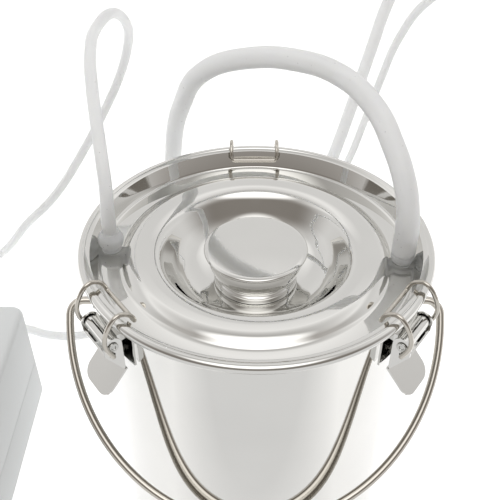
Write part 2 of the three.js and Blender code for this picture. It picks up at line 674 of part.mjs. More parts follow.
/** From the liner's tail up to the claw's milk inlet. */
function shortMilkTube(x, side, tailY) {
  const inletX = CLAW.x + side * CLAW.inletDx;
  const inletY = CLAW.y - CLAW.inletReach - GAP;
  const tailEnd = tailY + CUP.tail + GAP;
  const middle = [(x + inletX) / 2, (tailEnd + inletY) / 2, CLAW.milkZ - 6];
  const atTail = [[x, tailEnd, CUP.axisZ], [x, tailEnd + 6, CUP.axisZ], [x, tailEnd + 14, CUP.axisZ + 1.5]];
  const atClaw = [12, 6, 0].map((back) => [inletX, inletY - back, CLAW.milkZ]);
  return bar(spline([...atTail, middle, ...atClaw]), SHORT_TUBE.milk, 7);
}

/** From the shell's air nipple, over the cup, to the air distributor. */
function shortPulseTube(x, side, tailY) {
  const airX = CLAW.x + side * CLAW.airDx;
  const airY = CLAW.y - CLAW.airReach - GAP;
  const nippleY = tailY - CUP.airBack;
  const nippleZ = CUP.axisZ + CUP.airRise + GAP;
  const atCup = [[x, nippleY, nippleZ], [x, nippleY, nippleZ + 6], [x, nippleY + 2, nippleZ + 15]];
  const over = [[x - side * 3, nippleY + 16, nippleZ + 26], [airX + side * 5, airY - 32, CLAW.airZ + 9]];
  const atClaw = [12, 6, 0].map((back) => [airX, airY - back, CLAW.airZ]);
  return bar(spline([...atCup, ...over, ...atClaw]), SHORT_TUBE.air, 11);
}

function buildCluster() {
  const cluster = new THREE.Group();
  const tailY = CUP.mouthY + CUP.length;
  part('claw_bowl', clawBowl(), CLEAR(), cluster);
  part('claw_cap', clawCap(), STEEL(), cluster);
  part('air_distributor', airDistributor(), BLACK(), cluster);
  for (const [where, x] of Object.entries(CUP.x)) {
    const side = Math.sign(x - CLAW.x);
    part(`cup_shell_${where}`, cupShell(x, tailY), STEEL(), cluster);
    part(`cup_liner_${where}`, cupLiner(x, tailY), SILICONE(), cluster);
    part(`short_milk_tube_${where}`, shortMilkTube(x, side, tailY), SILICONE(), cluster);
    part(`short_pulse_tube_${where}`, shortPulseTube(x, side, tailY), SILICONE(), cluster);
  }
  return cluster;
}

// ---- hoses --------------------------------------------------------------------------------------
const HOSE_ROUTES = {
  vacuum_hose: [
    [-99.9, 4, 263.8], [-99.9, 4.1, 275], [-99.8, 9.4, 293], [-104.2, 29.5, 316], [-112.6, 68, 336],
    [-121, 116, 344], [-124, 160, 343], [-118, 206, 338], [-113.5, 246, 312], [-119.5, 274, 280],
    [-134, 288, 240], [-153, 284, 204], [-173, 266, 173], [-205, 240, 132], [-246, 244, 88], [-276, 256, 48], [-302, 264, 22], [-325, 256, 9],
    [-343, 236, 5], [-354, 208, 5], [-356, 180, 8.5], [-353, 156, 16], [-350, 132, 26.6], [-350, 118, 30],
    [-350, 105.6, 30],
  ],
  milk_hose: [
    [99.5, -9, 263.8], [99.4, -8.6, 277], [98.2, -6, 291.5],
    [94.6, 0.8, 308], [88.6, 12.5, 323], [76, 35, 342],
    [54, 57, 354], [26, 70, 358], [-4, 82, 354], [-36, 101, 336], [-58, 135, 290], [-71, 172, 228],
    [-76, 196, 150], [-70, 214, 78], [-46, 236, 30],
    [-12, 263, 11], [24, 296, 9], [58, 334, 18], [84, 364, 48],
    [105, 391, 90], [126, 424, 138], [148, 463, 189], [171, 503, 239], [200, 538, 283], [233, 561, 310],
    [271, 572, 317.5], [308, 573, 302], [337, 566, 260], [357, 546, 190], [364, 512, 108], [366, 468, 58],
    [366, 428, 42], [366, 391.3, 40],
  ],
  pulse_hose: [
    [-305, 105.6, 30], [-305, 118, 29.8], [-303, 137, 25.5], [-293, 157, 17.5], [-270, 169, 9.5],
    [-243, 167, 5.5], [-214, 158, 5], [-182, 158, 5], [-148, 176, 5], [-108, 214, 5], [-58, 262, 5],
    [0, 318, 5], [48, 350, 9], [88, 364, 34],
    [116, 366, 86], [132, 364, 146], [145, 360, 205], [156, 349, 256], [174, 325, 304], [205, 292, 338],
    [248, 272, 354], [296, 276, 340], [332, 302, 296], [352, 346, 236], [362, 396, 174], [366, 427, 134],
    [367, 434, 105], [366.7, 427.3, 80], [366, 409, 61.7], [366, 386, 55.1], [366, 377.6, 55],
  ],
};

function buildHoses() {
  const hoses = new THREE.Group();
  const sizes = { vacuum_hose: [HOSE.thin, 36], milk_hose: [HOSE.thick, 38], pulse_hose: [HOSE.thin, 54] };
  for (const [name, [radius, steps]] of Object.entries(sizes)) {
    part(name, bar(spline(HOSE_ROUTES[name]), radius, steps), SILICONE(), hoses);
  }
  return hoses;
}

machine.add(buildPail(), buildLid(), buildPump(), buildCluster(), buildHoses());
for (const [where, angle] of Object.entries(LATCH_ANGLES)) machine.add(buildLatch(where, angle));

export default machine;
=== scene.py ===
"""Portable bucket milking machine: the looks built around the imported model."""

from __future__ import annotations

import logging
import math
from dataclasses import dataclass
from enum import Enum
from typing import Callable, Iterable, Sequence

import bpy
from mathutils import Matrix, Vector


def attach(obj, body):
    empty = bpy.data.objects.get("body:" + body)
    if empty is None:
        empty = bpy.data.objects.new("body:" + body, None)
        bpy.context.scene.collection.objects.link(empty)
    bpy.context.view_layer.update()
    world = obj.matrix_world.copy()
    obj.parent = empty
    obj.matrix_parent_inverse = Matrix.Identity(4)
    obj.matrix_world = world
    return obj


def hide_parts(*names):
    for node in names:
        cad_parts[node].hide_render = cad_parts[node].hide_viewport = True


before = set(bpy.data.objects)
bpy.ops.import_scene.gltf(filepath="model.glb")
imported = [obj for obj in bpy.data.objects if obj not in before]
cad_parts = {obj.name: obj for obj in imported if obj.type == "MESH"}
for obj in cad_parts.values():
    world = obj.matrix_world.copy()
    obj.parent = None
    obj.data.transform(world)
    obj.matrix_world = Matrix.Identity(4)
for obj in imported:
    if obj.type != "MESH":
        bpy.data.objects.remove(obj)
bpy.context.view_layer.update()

logging.basicConfig(level=logging.INFO, format="%(message)s")
LOG = logging.getLogger("milking_machine")

MM = 0.001
Point = tuple[float, float, float]
Outline = list[tuple[float, float]]
Piece = bpy.types.Object
Socket = bpy.types.NodeSocket

TOUCHING = 1e-5
"""Points nearer than this, in metres, count as one."""
SWAP_X_Y = Matrix(((0, 1, 0, 0), (1, 0, 0, 0), (0, 0, 1, 0), (0, 0, 0, 1)))
SWAP_Y_Z = Matrix(((1, 0, 0, 0), (0, 0, 1, 0), (0, 1, 0, 0), (0, 0, 0, 1)))


# ---------------------------------------------------------------- finishes
class Tone(Enum):
    """Linear colours of the machine's materials."""

    POLISHED = (0.71, 0.705, 0.685, 1.0)
    DRAWN_WIRE = (0.58, 0.55, 0.50, 1.0)
    SATIN = (0.62, 0.62, 0.60, 1.0)
    SILICONE = (0.95, 0.965, 0.97, 1.0)
    CASE = (0.68, 0.70, 0.705, 1.0)
    BLACK = (0.018, 0.018, 0.020, 1.0)
    CLEAR = (0.95, 0.97, 0.98, 1.0)
    BOARD = (0.02, 0.16, 0.06, 1.0)
    BRASS = (0.62, 0.42, 0.14, 1.0)
    DIAL = (0.86, 0.87, 0.86, 1.0)
    FLOOR = (0.55, 0.55, 0.55, 1.0)


class Nodes:
    """A node tree with short ways to add and link nodes."""

    def __init__(self, tree: bpy.types.NodeTree) -> None:
        """Take up a tree."""
        self.tree = tree

    def node(self, kind: str, **settings: object) -> bpy.types.Node:
        """Add a node and set its properties or sockets.

        Args:
            kind: The node's type name without its prefix.
            **settings: Property names, or socket names with spaces as underscores.

        Returns:
            The new node.
        """
        made = self.tree.nodes.new(f"ShaderNode{kind}")
        for key, value in settings.items():
            if hasattr(made, key):
                setattr(made, key, value)
            else:
                made.inputs[key.replace("_", " ")].default_value = value
        return made

    def link(self, source: Socket, target: Socket) -> None:
        """Join two sockets."""
        self.tree.links.new(source, target)


class NodeSheet(Nodes):
    """A material's nodes around its Principled shader."""

    def __init__(self, name: str) -> None:
        """Start a material of this name."""
        self.material = bpy.data.materials.new(name)
        self.material.use_nodes = True
        super().__init__(self.material.node_tree)
        self.shader = self.tree.nodes["Principled BSDF"]

    def shade(self, **values: object) -> None:
        """Set the shader's own sockets by name, with spaces as underscores."""
        for key, value in values.items():
            self.shader.inputs[key.replace("_", " ")].default_value = value

    def grain(self, scale: float, detail: float, stretch: Point = (1.0, 1.0, 1.0)) -> bpy.types.Node:
        """Add noise on the object's own coordinates.

        Args:
            scale: The noise scale, in turns a metre.
            detail: Octaves of noise.
            stretch: Scale along each axis.

        Returns:
            The noise node.
        """
        place = self.node("TexCoord")
        mapping = self.node("Mapping")
        mapping.inputs["Scale"].default_value = stretch
        noise = self.node("TexNoise", Scale=scale, Detail=detail)
        self.link(place.outputs["Object"], mapping.inputs["Vector"])
        self.link(mapping.outputs["Vector"], noise.inputs["Vector"])
        return noise

    def vary(self, source: Socket, low: float, high: float, socket: str) -> None:
        """Drive a shader socket between two values.

        Args:
            source: A value that runs from 0 to 1.
            low: The value at 0.
            high: The value at 1.
            socket: The shader socket's name.
        """
        span = self.node("MapRange", To_Min=low, To_Max=high)
        self.link(source, span.inputs["Value"])
        self.link(span.outputs["Result"], self.shader.inputs[socket])

    def tint(self, source: Socket, dark: Sequence[float], light: Sequence[float]) -> None:
        """Run the base colour between two colours."""
        ramp = self.node("ValToRGB")
        ramp.color_ramp.elements[0].position = 0.3
        ramp.color_ramp.elements[0].color = dark
        ramp.color_ramp.elements[1].position = 0.7
        ramp.color_ramp.elements[1].color = light
        self.link(source, ramp.inputs["Fac"])
        self.link(ramp.outputs["Color"], self.shader.inputs["Base Color"])

    def bump(self, source: Socket, strength: float, distance: float) -> None:
        """Raise the surface by a height texture."""
        bump = self.node("Bump", Strength=strength, Distance=distance)
        self.link(source, bump.inputs["Height"])
        self.link(bump.outputs["Normal"], self.shader.inputs["Normal"])


def scaled(tone: Tone, factor: float) -> tuple[float, float, float, float]:
    """A tone made darker or lighter.

    Args:
        tone: The colour to start from.
        factor: What its channels are multiplied by.

    Returns:
        The colour, still opaque.
    """
    red, green, blue, _ = tone.value
    return (red * factor, green * factor, blue * factor, 1.0)


@dataclass(frozen=True)
class SteelFinish:
    """Stainless steel from mirror polish to satin."""

    name: str
    tone: Tone
    smooth: float
    rough: float
    waviness: float
    slot: str
    stretch: Point = (1.0, 1.0, 1.0)

    def make(self) -> bpy.types.Material:
        """Build the material: faint polishing marks in its gloss and a very slight wave."""
        sheet = NodeSheet(self.name)
        sheet.shade(Metallic=1.0, IOR=2.5)
        marks = sheet.grain(900.0, 4.0, self.stretch)
        sheet.vary(marks.outputs["Fac"], self.smooth, self.rough, "Roughness")
        cloud = sheet.grain(14.0, 2.0)
        sheet.tint(cloud.outputs["Fac"], scaled(self.tone, 0.95), self.tone.value)
        sheet.bump(cloud.outputs["Fac"], self.waviness, 0.0004)
        return sheet.material


@dataclass(frozen=True)
class SiliconeFinish:
    """Milky silicone that lets light through."""

    name: str
    clear: float
    slot: str = "milky_silicone"

    def make(self) -> bpy.types.Material:
        """Build the material: soft gloss, light scattered inside, a faint cloudiness."""
        sheet = NodeSheet(self.name)
        sheet.shade(IOR=1.41, Transmission_Weight=self.clear, Subsurface_Weight=0.35)
        sheet.shade(Subsurface_Radius=(0.6, 0.6, 0.55), Subsurface_Scale=0.004)
        cloud = sheet.grain(55.0, 3.0)
        sheet.tint(cloud.outputs["Fac"], scaled(Tone.SILICONE, 0.965), Tone.SILICONE.value)
        bloom = sheet.grain(420.0, 3.0)
        sheet.vary(bloom.outputs["Fac"], 0.24, 0.36, "Roughness")
        sheet.bump(bloom.outputs["Fac"], 0.05, 0.0002)
        return sheet.material


@dataclass(frozen=True)
class MouldedFinish:
    """Injection-moulded plastic with a fine spark-eroded grain."""

    name: str
    tone: Tone
    low: float
    high: float
    relief: float
    slot: str

    def make(self) -> bpy.types.Material:
        """Build the material: speckled grain in gloss and relief, slight cloud in colour."""
        sheet = NodeSheet(self.name)
        sheet.shade(IOR=1.5)
        grain = sheet.grain(1500.0, 2.0)
        sheet.vary(grain.outputs["Fac"], self.low, self.high, "Roughness")
        cloud = sheet.grain(9.0, 3.0)
        sheet.tint(cloud.outputs["Fac"], scaled(self.tone, 0.975), self.tone.value)
        sheet.bump(grain.outputs["Fac"], self.relief, 0.0003)
        return sheet.material


@dataclass(frozen=True)
class ClearFinish:
    """Clear polycarbonate."""

    name: str
    slot: str = "clear_plastic"

    def make(self) -> bpy.types.Material:
        """Build the material: see-through with faint haze marks in its gloss."""
        sheet = NodeSheet(self.name)
        sheet.shade(IOR=1.58, Transmission_Weight=0.95)
        sheet.shade(Base_Color=Tone.CLEAR.value)
        haze = sheet.grain(60.0, 4.0)
        sheet.vary(haze.outputs["Fac"], 0.02, 0.10, "Roughness")
        return sheet.material


Finish = SteelFinish | SiliconeFinish | MouldedFinish | ClearFinish


class FinishShelf:
    """Makes each finish once and dresses pieces in it."""

    def __init__(self) -> None:
        """Start with nothing made."""
        self.made: dict[str, bpy.types.Material] = {}

    def dress(self, piece: Piece, finish: Finish) -> None:
        """Give a piece one finish.

        Args:
            piece: The piece to dress.
            finish: The finish that it gets.
        """
        material = self.of(finish)
        piece.data.materials.clear()
        piece.data.materials.append(material)

    def of(self, finish: Finish) -> bpy.types.Material:
        """The material of a finish, made when first asked for."""
        if finish.name not in self.made:
            self.made[finish.name] = finish.make()
        return self.made[finish.name]

    def repaint(self, node: str, finish: Finish) -> None:
        """Give a CAD node that stays in view a finish."""
        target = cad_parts[node]
        if target.data.materials:
            target.material_slots[0].material = self.of(finish)
        else:
            target.data.materials.append(self.of(finish))


SHELF = FinishShelf()
MIRROR = SteelFinish("mirror_polished_steel", Tone.POLISHED, 0.015, 0.045, 0.10, "polished_steel")
PRESSED = SteelFinish("bright_pressed_steel", Tone.POLISHED, 0.04, 0.10, 0.10, "polished_steel")
WIRE = SteelFinish("drawn_steel_wire", Tone.DRAWN_WIRE, 0.06, 0.14, 0.05, "steel_wire", (0.2, 0.2, 1.0))
SATIN = SteelFinish("satin_steel", Tone.SATIN, 0.20, 0.34, 0.05, "brushed_fittings")
TUBING = SiliconeFinish("milky_tubing", 0.30)
THICK_TUBING = SiliconeFinish("thick_milky_tubing", 0.25)
GROMMET = SiliconeFinish("silicone_grommet", 0.55)
CASE_GREY = MouldedFinish("pale_grey_case", Tone.CASE, 0.38, 0.52, 0.10, "case_shell")
BLACK_NYLON = MouldedFinish("black_nylon", Tone.BLACK, 0.28, 0.42, 0.08, "black_plastic")
DIAL_WHITE = MouldedFinish("dial_white", Tone.DIAL, 0.45, 0.55, 0.02, "case_shell")
BOARD_GREEN = MouldedFinish("board_green", Tone.BOARD, 0.30, 0.45, 0.05, "board")
CLEAR_COVER = ClearFinish("clear_cover")
VALVE_BRASS = SteelFinish("valve_brass", Tone.BRASS, 0.15, 0.28, 0.05, "brass")


# ---------------------------------------------------------------- bench tools
class Bench:
    """Modelling steps shared by every sub-assembly, each an operator on one piece."""

    @staticmethod
    def clear() -> None:
        """Leave edit mode and deselect everything."""
        if bpy.context.object and bpy.context.object.mode != "OBJECT":
            bpy.ops.object.mode_set(mode="OBJECT")
        bpy.ops.object.select_all(action="DESELECT")

    @staticmethod
    def only(piece: Piece) -> None:
        """Select one piece and make it active."""
        Bench.clear()
        piece.select_set(True)
        bpy.context.view_layer.objects.active = piece

    @staticmethod
    def line(name: str, points: Sequence[Point]) -> Piece:
        """Draw a chain of edges by extruding one vertex from place to place.

        Args:
            name: The new piece's name.
            points: Places in metres, in order.

        Returns:
            The piece, in edit mode with its last vertex selected.
        """
        Bench.clear()
        bpy.ops.mesh.primitive_plane_add(size=0.01)
        piece = bpy.context.object
        piece.name = piece.data.name = name
        bpy.ops.object.mode_set(mode="EDIT")
        bpy.ops.mesh.select_mode(type="VERT")
        bpy.ops.mesh.select_all(action="SELECT")
        bpy.ops.mesh.merge(type="CENTER")
        bpy.ops.transform.translate(value=points[0])
        for here, there in zip(points, points[1:]):
            step = tuple(b - a for a, b in zip(here, there))
            bpy.ops.mesh.extrude_region_move(TRANSFORM_OT_translate={"value": step})
        return piece

    @staticmethod
    def turned(name: str, profile: Outline, steps: int, smooth: float = 40.0) -> Piece:
        """Spin a profile of (radius, height) millimetres about the Z axis.

        Args:
            name: The new piece's name.
            profile: The profile; it closes on the axis or on its own first point.
            steps: Steps round the turn.
            smooth: Edges sharper than this many degrees stay crisp.

        Returns:
            The finished piece.
        """
        piece = Bench.line(name, [(r * MM, 0.0, z * MM) for r, z in profile])
        bpy.ops.mesh.select_all(action="SELECT")
        bpy.ops.mesh.spin(steps=steps, angle=math.tau, center=(0, 0, 0), axis=(0, 0, 1), dupli=False)
        Bench.seal(piece, smooth)
        return piece

    @staticmethod
    def seal(piece: Piece, smooth: float = 40.0, tolerance: float = 2e-6) -> None:
        """Merge doubles, point the faces out and smooth the flat angles.

        Args:
            piece: The piece to seal.
            smooth: Edges sharper than this many degrees stay crisp.
            tolerance: Distance within which vertices merge, in metres.
        """
        Bench.only(piece)
        bpy.ops.object.mode_set(mode="EDIT")
        bpy.ops.mesh.select_all(action="SELECT")
        bpy.ops.mesh.remove_doubles(threshold=tolerance)
        bpy.ops.mesh.normals_make_consistent(inside=False)
        bpy.ops.object.mode_set(mode="OBJECT")
        bpy.ops.object.shade_smooth_by_angle(angle=math.radians(smooth))

    @staticmethod
    def modify(piece: Piece, kind: str, **settings: object) -> None:
        """Add a modifier and apply it.

        Args:
            piece: The piece to change.
            kind: The modifier's type.
            **settings: The modifier's properties.
        """
        Bench.only(piece)
        modifier = piece.modifiers.new(kind.lower(), kind)
        for key, value in settings.items():
            setattr(modifier, key, value)
        bpy.ops.object.modifier_apply(modifier=modifier.name)

    @staticmethod
    def pick_edges(piece: Piece, rule: Callable[[Vector, Vector], bool]) -> None:
        """Go into edit mode with only those edges selected whose two ends meet a rule."""
        Bench.deselect_parts(piece, "EDGE")
        points = piece.data.vertices
        for edge in piece.data.edges:
            a, b = edge.vertices
            edge.select = rule(points[a].co, points[b].co)
        bpy.ops.object.mode_set(mode="EDIT")

    @staticmethod
    def pick_faces(piece: Piece, rule: Callable[[Vector, Vector], bool]) -> None:
        """Go into edit mode with only those faces selected whose centre and normal meet a rule."""
        Bench.deselect_parts(piece, "FACE")
        for face in piece.data.polygons:
            face.select = rule(face.center, face.normal)
        bpy.ops.object.mode_set(mode="EDIT")

    @staticmethod
    def deselect_parts(piece: Piece, kind: str) -> None:
        """Deselect all of a piece's mesh and set what its edit mode selects."""
        Bench.only(piece)
        bpy.ops.object.mode_set(mode="EDIT")
        bpy.ops.mesh.select_mode(type=kind)
        bpy.ops.mesh.select_all(action="DESELECT")
        bpy.ops.object.mode_set(mode="OBJECT")

    @staticmethod
    def soften(piece: Piece, width: float) -> None:
        """Round a piece's sharp edges a little, width in millimetres."""
        angle = math.radians(32)
        Bench.modify(piece, "BEVEL", width=width * MM, segments=2, limit_method="ANGLE", angle_limit=angle)
        bpy.ops.object.shade_smooth_by_angle(angle=math.radians(40))

    @staticmethod
    def smooth_curve(name: str, places: Sequence[Vector], radius: float, steps: int) -> Piece:
        """Draw a round capped curve that bends smoothly through places in metres.

        Args:
            name: The new piece's name.
            places: Where it runs.
            radius: Its radius in metres.
            steps: Steps from one place to the next.

        Returns:
            The piece, still a curve.
        """
        curve = bpy.data.curves.new(name, "CURVE")
        curve.dimensions = "3D"
        spline = curve.splines.new("BEZIER")
        spline.bezier_points.add(len(places) - 1)
        for knot, place in zip(spline.bezier_points, places):
            knot.co = place
            knot.handle_left_type = knot.handle_right_type = "AUTO"
        spline.resolution_u = steps
        curve.bevel_depth = radius
        curve.bevel_resolution = 8
        curve.use_fill_caps = True
        piece = bpy.data.objects.new(name, curve)
        bpy.context.scene.collection.objects.link(piece)
        return piece

    @staticmethod
    def tube(name: str, points: Sequence[Point], radius: float) -> Piece:
        """A smooth round tube through points, millimetres, closed at both ends."""
        piece = Bench.smooth_curve(name, [Vector(point) * MM for point in points], radius * MM, 12)
        Bench.only(piece)
        bpy.ops.object.convert(target="MESH")
        result = bpy.context.object
        Bench.seal(result, 50)
        return result

    @staticmethod
    def place(piece: Piece, matrix: Matrix) -> None:
        """Move a piece and put its place into its mesh."""
        Bench.only(piece)
        piece.matrix_world = matrix @ piece.matrix_world
        bpy.ops.object.transform_apply(location=True, rotation=True, scale=True)

    @staticmethod
    def at(x: float, y: float, z: float) -> Matrix:
        """The move to a place in millimetres."""
        return Matrix.Translation((x * MM, y * MM, z * MM))

    @staticmethod
    def rotated(degrees: float, axis: str) -> Matrix:
        """The turn by an angle about one axis."""
        return Matrix.Rotation(math.radians(degrees), 4, axis)

    @staticmethod
    def joined(name: str, pieces: Sequence[Piece]) -> Piece:
        """Join several pieces into one mesh.

        Args:
            name: The joined piece's name.
            pieces: What is joined; the first keeps its place.

        Returns:
            The joined piece.
        """
        Bench.clear()
        for piece in pieces:
            piece.select_set(True)
        bpy.context.view_layer.objects.active = pieces[0]
        if len(pieces) > 1:
            bpy.ops.object.join()
        result = bpy.context.object
        result.name = result.data.name = name
        return result

    @staticmethod
    def cut(piece: Piece, tools: Iterable[Piece], operation: str = "DIFFERENCE") -> None:
        """Cut tools out of a piece, or fuse them to it, and remove the tools."""
        for tool in tools:
            Bench.modify(piece, "BOOLEAN", operation=operation, solver="EXACT", object=tool)
            bpy.data.objects.remove(tool, do_unlink=True)

    @staticmethod
    def block(name: str, low: Point, high: Point) -> Piece:
        """A cuboid between two corners in millimetres, its size in its mesh."""
        Bench.clear()
        centre = tuple((a + b) / 2 * MM for a, b in zip(low, high))
        bpy.ops.mesh.primitive_cube_add(size=1, location=centre)
        piece = bpy.context.object
        piece.name = piece.data.name = name
        piece.scale = tuple((b - a) * MM for a, b in zip(low, high))
        bpy.ops.object.transform_apply(location=True, rotation=True, scale=True)
        return piece

    @staticmethod
    def rod(name: str, radius: float, start: Point, end: Point, sides: int = 32) -> Piece:
        """A round bar between two points, millimetres, its place in its mesh."""
        Bench.clear()
        a, b = Vector(start) * MM, Vector(end) * MM
        bpy.ops.mesh.primitive_cylinder_add(vertices=sides, radius=radius * MM, depth=(b - a).length)
        piece = bpy.context.object
        piece.name = piece.data.name = name
        turn = (b - a).to_track_quat("Z", "Y").to_matrix().to_4x4()
        Bench.place(piece, Matrix.Translation((a + b) / 2) @ turn)
        return piece

    @staticmethod
    def wire(name: str, points: Sequence[Point], radius: float, fillet: float) -> Piece:
        """Bend a round wire through points, with filleted corners.

        Args:
            name: The new piece's name.
            points: Places in millimetres.
            radius: The wire's radius in millimetres.
            fillet: How far each corner is cut back, in millimetres.

        Returns:
            The finished wire.
        """
        piece = Bench.line(name, [tuple(c * MM for c in p) for p in points])
        bpy.ops.mesh.select_all(action="SELECT")
        if fillet > 0:
            bpy.ops.mesh.bevel(affect="VERTICES", offset=fillet * MM, segments=6)
        bpy.ops.object.mode_set(mode="OBJECT")
        bpy.ops.object.convert(target="CURVE")
        curve = bpy.context.object.data
        curve.bevel_depth = radius * MM
        curve.bevel_resolution = 6
        curve.use_fill_caps = True
        bpy.ops.object.convert(target="MESH")
        result = bpy.context.object
        Bench.seal(result, 50.0)
        return result

    @staticmethod
    def plate(name: str, outline: Outline, low: float, high: float) -> Piece:
        """Fill an outline in the XZ plane and extrude it along Y, millimetres.

        Args:
            name: The new piece's name.
            outline: The outline's (x, z) corners.
            low: Where the plate starts along Y.
            high: Where it ends along Y.

        Returns:
            The plate.
        """
        piece = Bench.line(name, [(x * MM, low * MM, z * MM) for x, z in outline])
        bpy.ops.mesh.select_all(action="SELECT")
        bpy.ops.mesh.edge_face_add()
        bpy.ops.mesh.select_all(action="SELECT")
        step = (0.0, (high - low) * MM, 0.0)
        bpy.ops.mesh.extrude_region_move(TRANSFORM_OT_translate={"value": step})
        Bench.seal(piece, 30.0)
        return piece


def arc(r: float, z: float, radius: float, start: float, end: float, steps: int) -> Outline:
    """Points of an arc, angles in degrees.

    Args:
        r: The centre's first coordinate.
        z: The centre's second coordinate.
        radius: The arc's radius.
        start: Its first angle.
        end: Its last angle.
        steps: How many steps it takes.

    Returns:
        The points, both ends included.
    """
    angles = [math.radians(start + (end - start) * i / steps) for i in range(steps + 1)]
    return [(r + radius * math.cos(a), z + radius * math.sin(a)) for a in angles]


def offset_line(points: Outline, distance: float) -> Outline:
    """The line that lies a distance to the right of another, with mitred corners.

    Args:
        points: The line.
        distance: How far to its right.

    Returns:
        As many points as the line has.
    """
    normals = []
    for (ax, az), (bx, bz) in zip(points, points[1:]):
        length = math.hypot(bx - ax, bz - az)
        normals.append(((bz - az) / length, (ax - bx) / length))
    result: Outline = []
    for i, (x, z) in enumerate(points):
        a, b = normals[max(i - 1, 0)], normals[min(i, len(normals) - 1)]
        scale = distance / (1 + a[0] * b[0] + a[1] * b[1])
        result.append((x + (a[0] + b[0]) * scale, z + (a[1] + b[1]) * scale))
    return result


def rounded_box(half_x: float, half_z: float, radius: float, steps: int) -> Outline:
    """The outline of a rectangle with round corners, about the origin."""
    x, z = half_x - radius, half_z - radius
    result: Outline = []
    for quarter, (u, w) in enumerate(((x, z), (-x, z), (-x, -z), (x, -z))):
        result += arc(u, w, radius, 90 * quarter, 90 * (quarter + 1), steps)
    return result


def eased(corners: Outline, radii: Sequence[float], steps: int = 5) -> Outline:
    """Round the corners of an open line.

    Args:
        corners: The line's corners.
        radii: How far each inner corner is cut back, one number for each.
        steps: Points in each rounding.

    Returns:
        The line with its roundings.
    """
    result: Outline = [corners[0]]
    for before, corner, after, cut in zip(corners, corners[1:], corners[2:], radii):
        a, b, c = Vector(before), Vector(corner), Vector(after)
        start = b + (a - b).normalized() * min(cut, (a - b).length * 0.49)
        end = b + (c - b).normalized() * min(cut, (c - b).length * 0.49)
        for i in range(steps + 1):
            t = i / steps
            point = start * (1 - t) ** 2 + b * (2 * t * (1 - t)) + end * t**2
            result.append((point.x, point.y))
    result.append(corners[-1])
    return result


def stand(piece: Piece, finish: Finish, *nodes: str, body: str = "root") -> None:
    """Dress a piece, ride it on its body and let it stand for CAD nodes.

    Args:
        piece: The piece.
        finish: Its finish.
        *nodes: The CAD nodes that it stands for.
        body: The body that carries it.
    """
    SHELF.dress(piece, finish)
    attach(piece, body)
    if nodes:
        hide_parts(*nodes)
    LOG.info("%s: %d faces on %s", piece.name, len(getattr(piece.data, "polygons", ())), body)


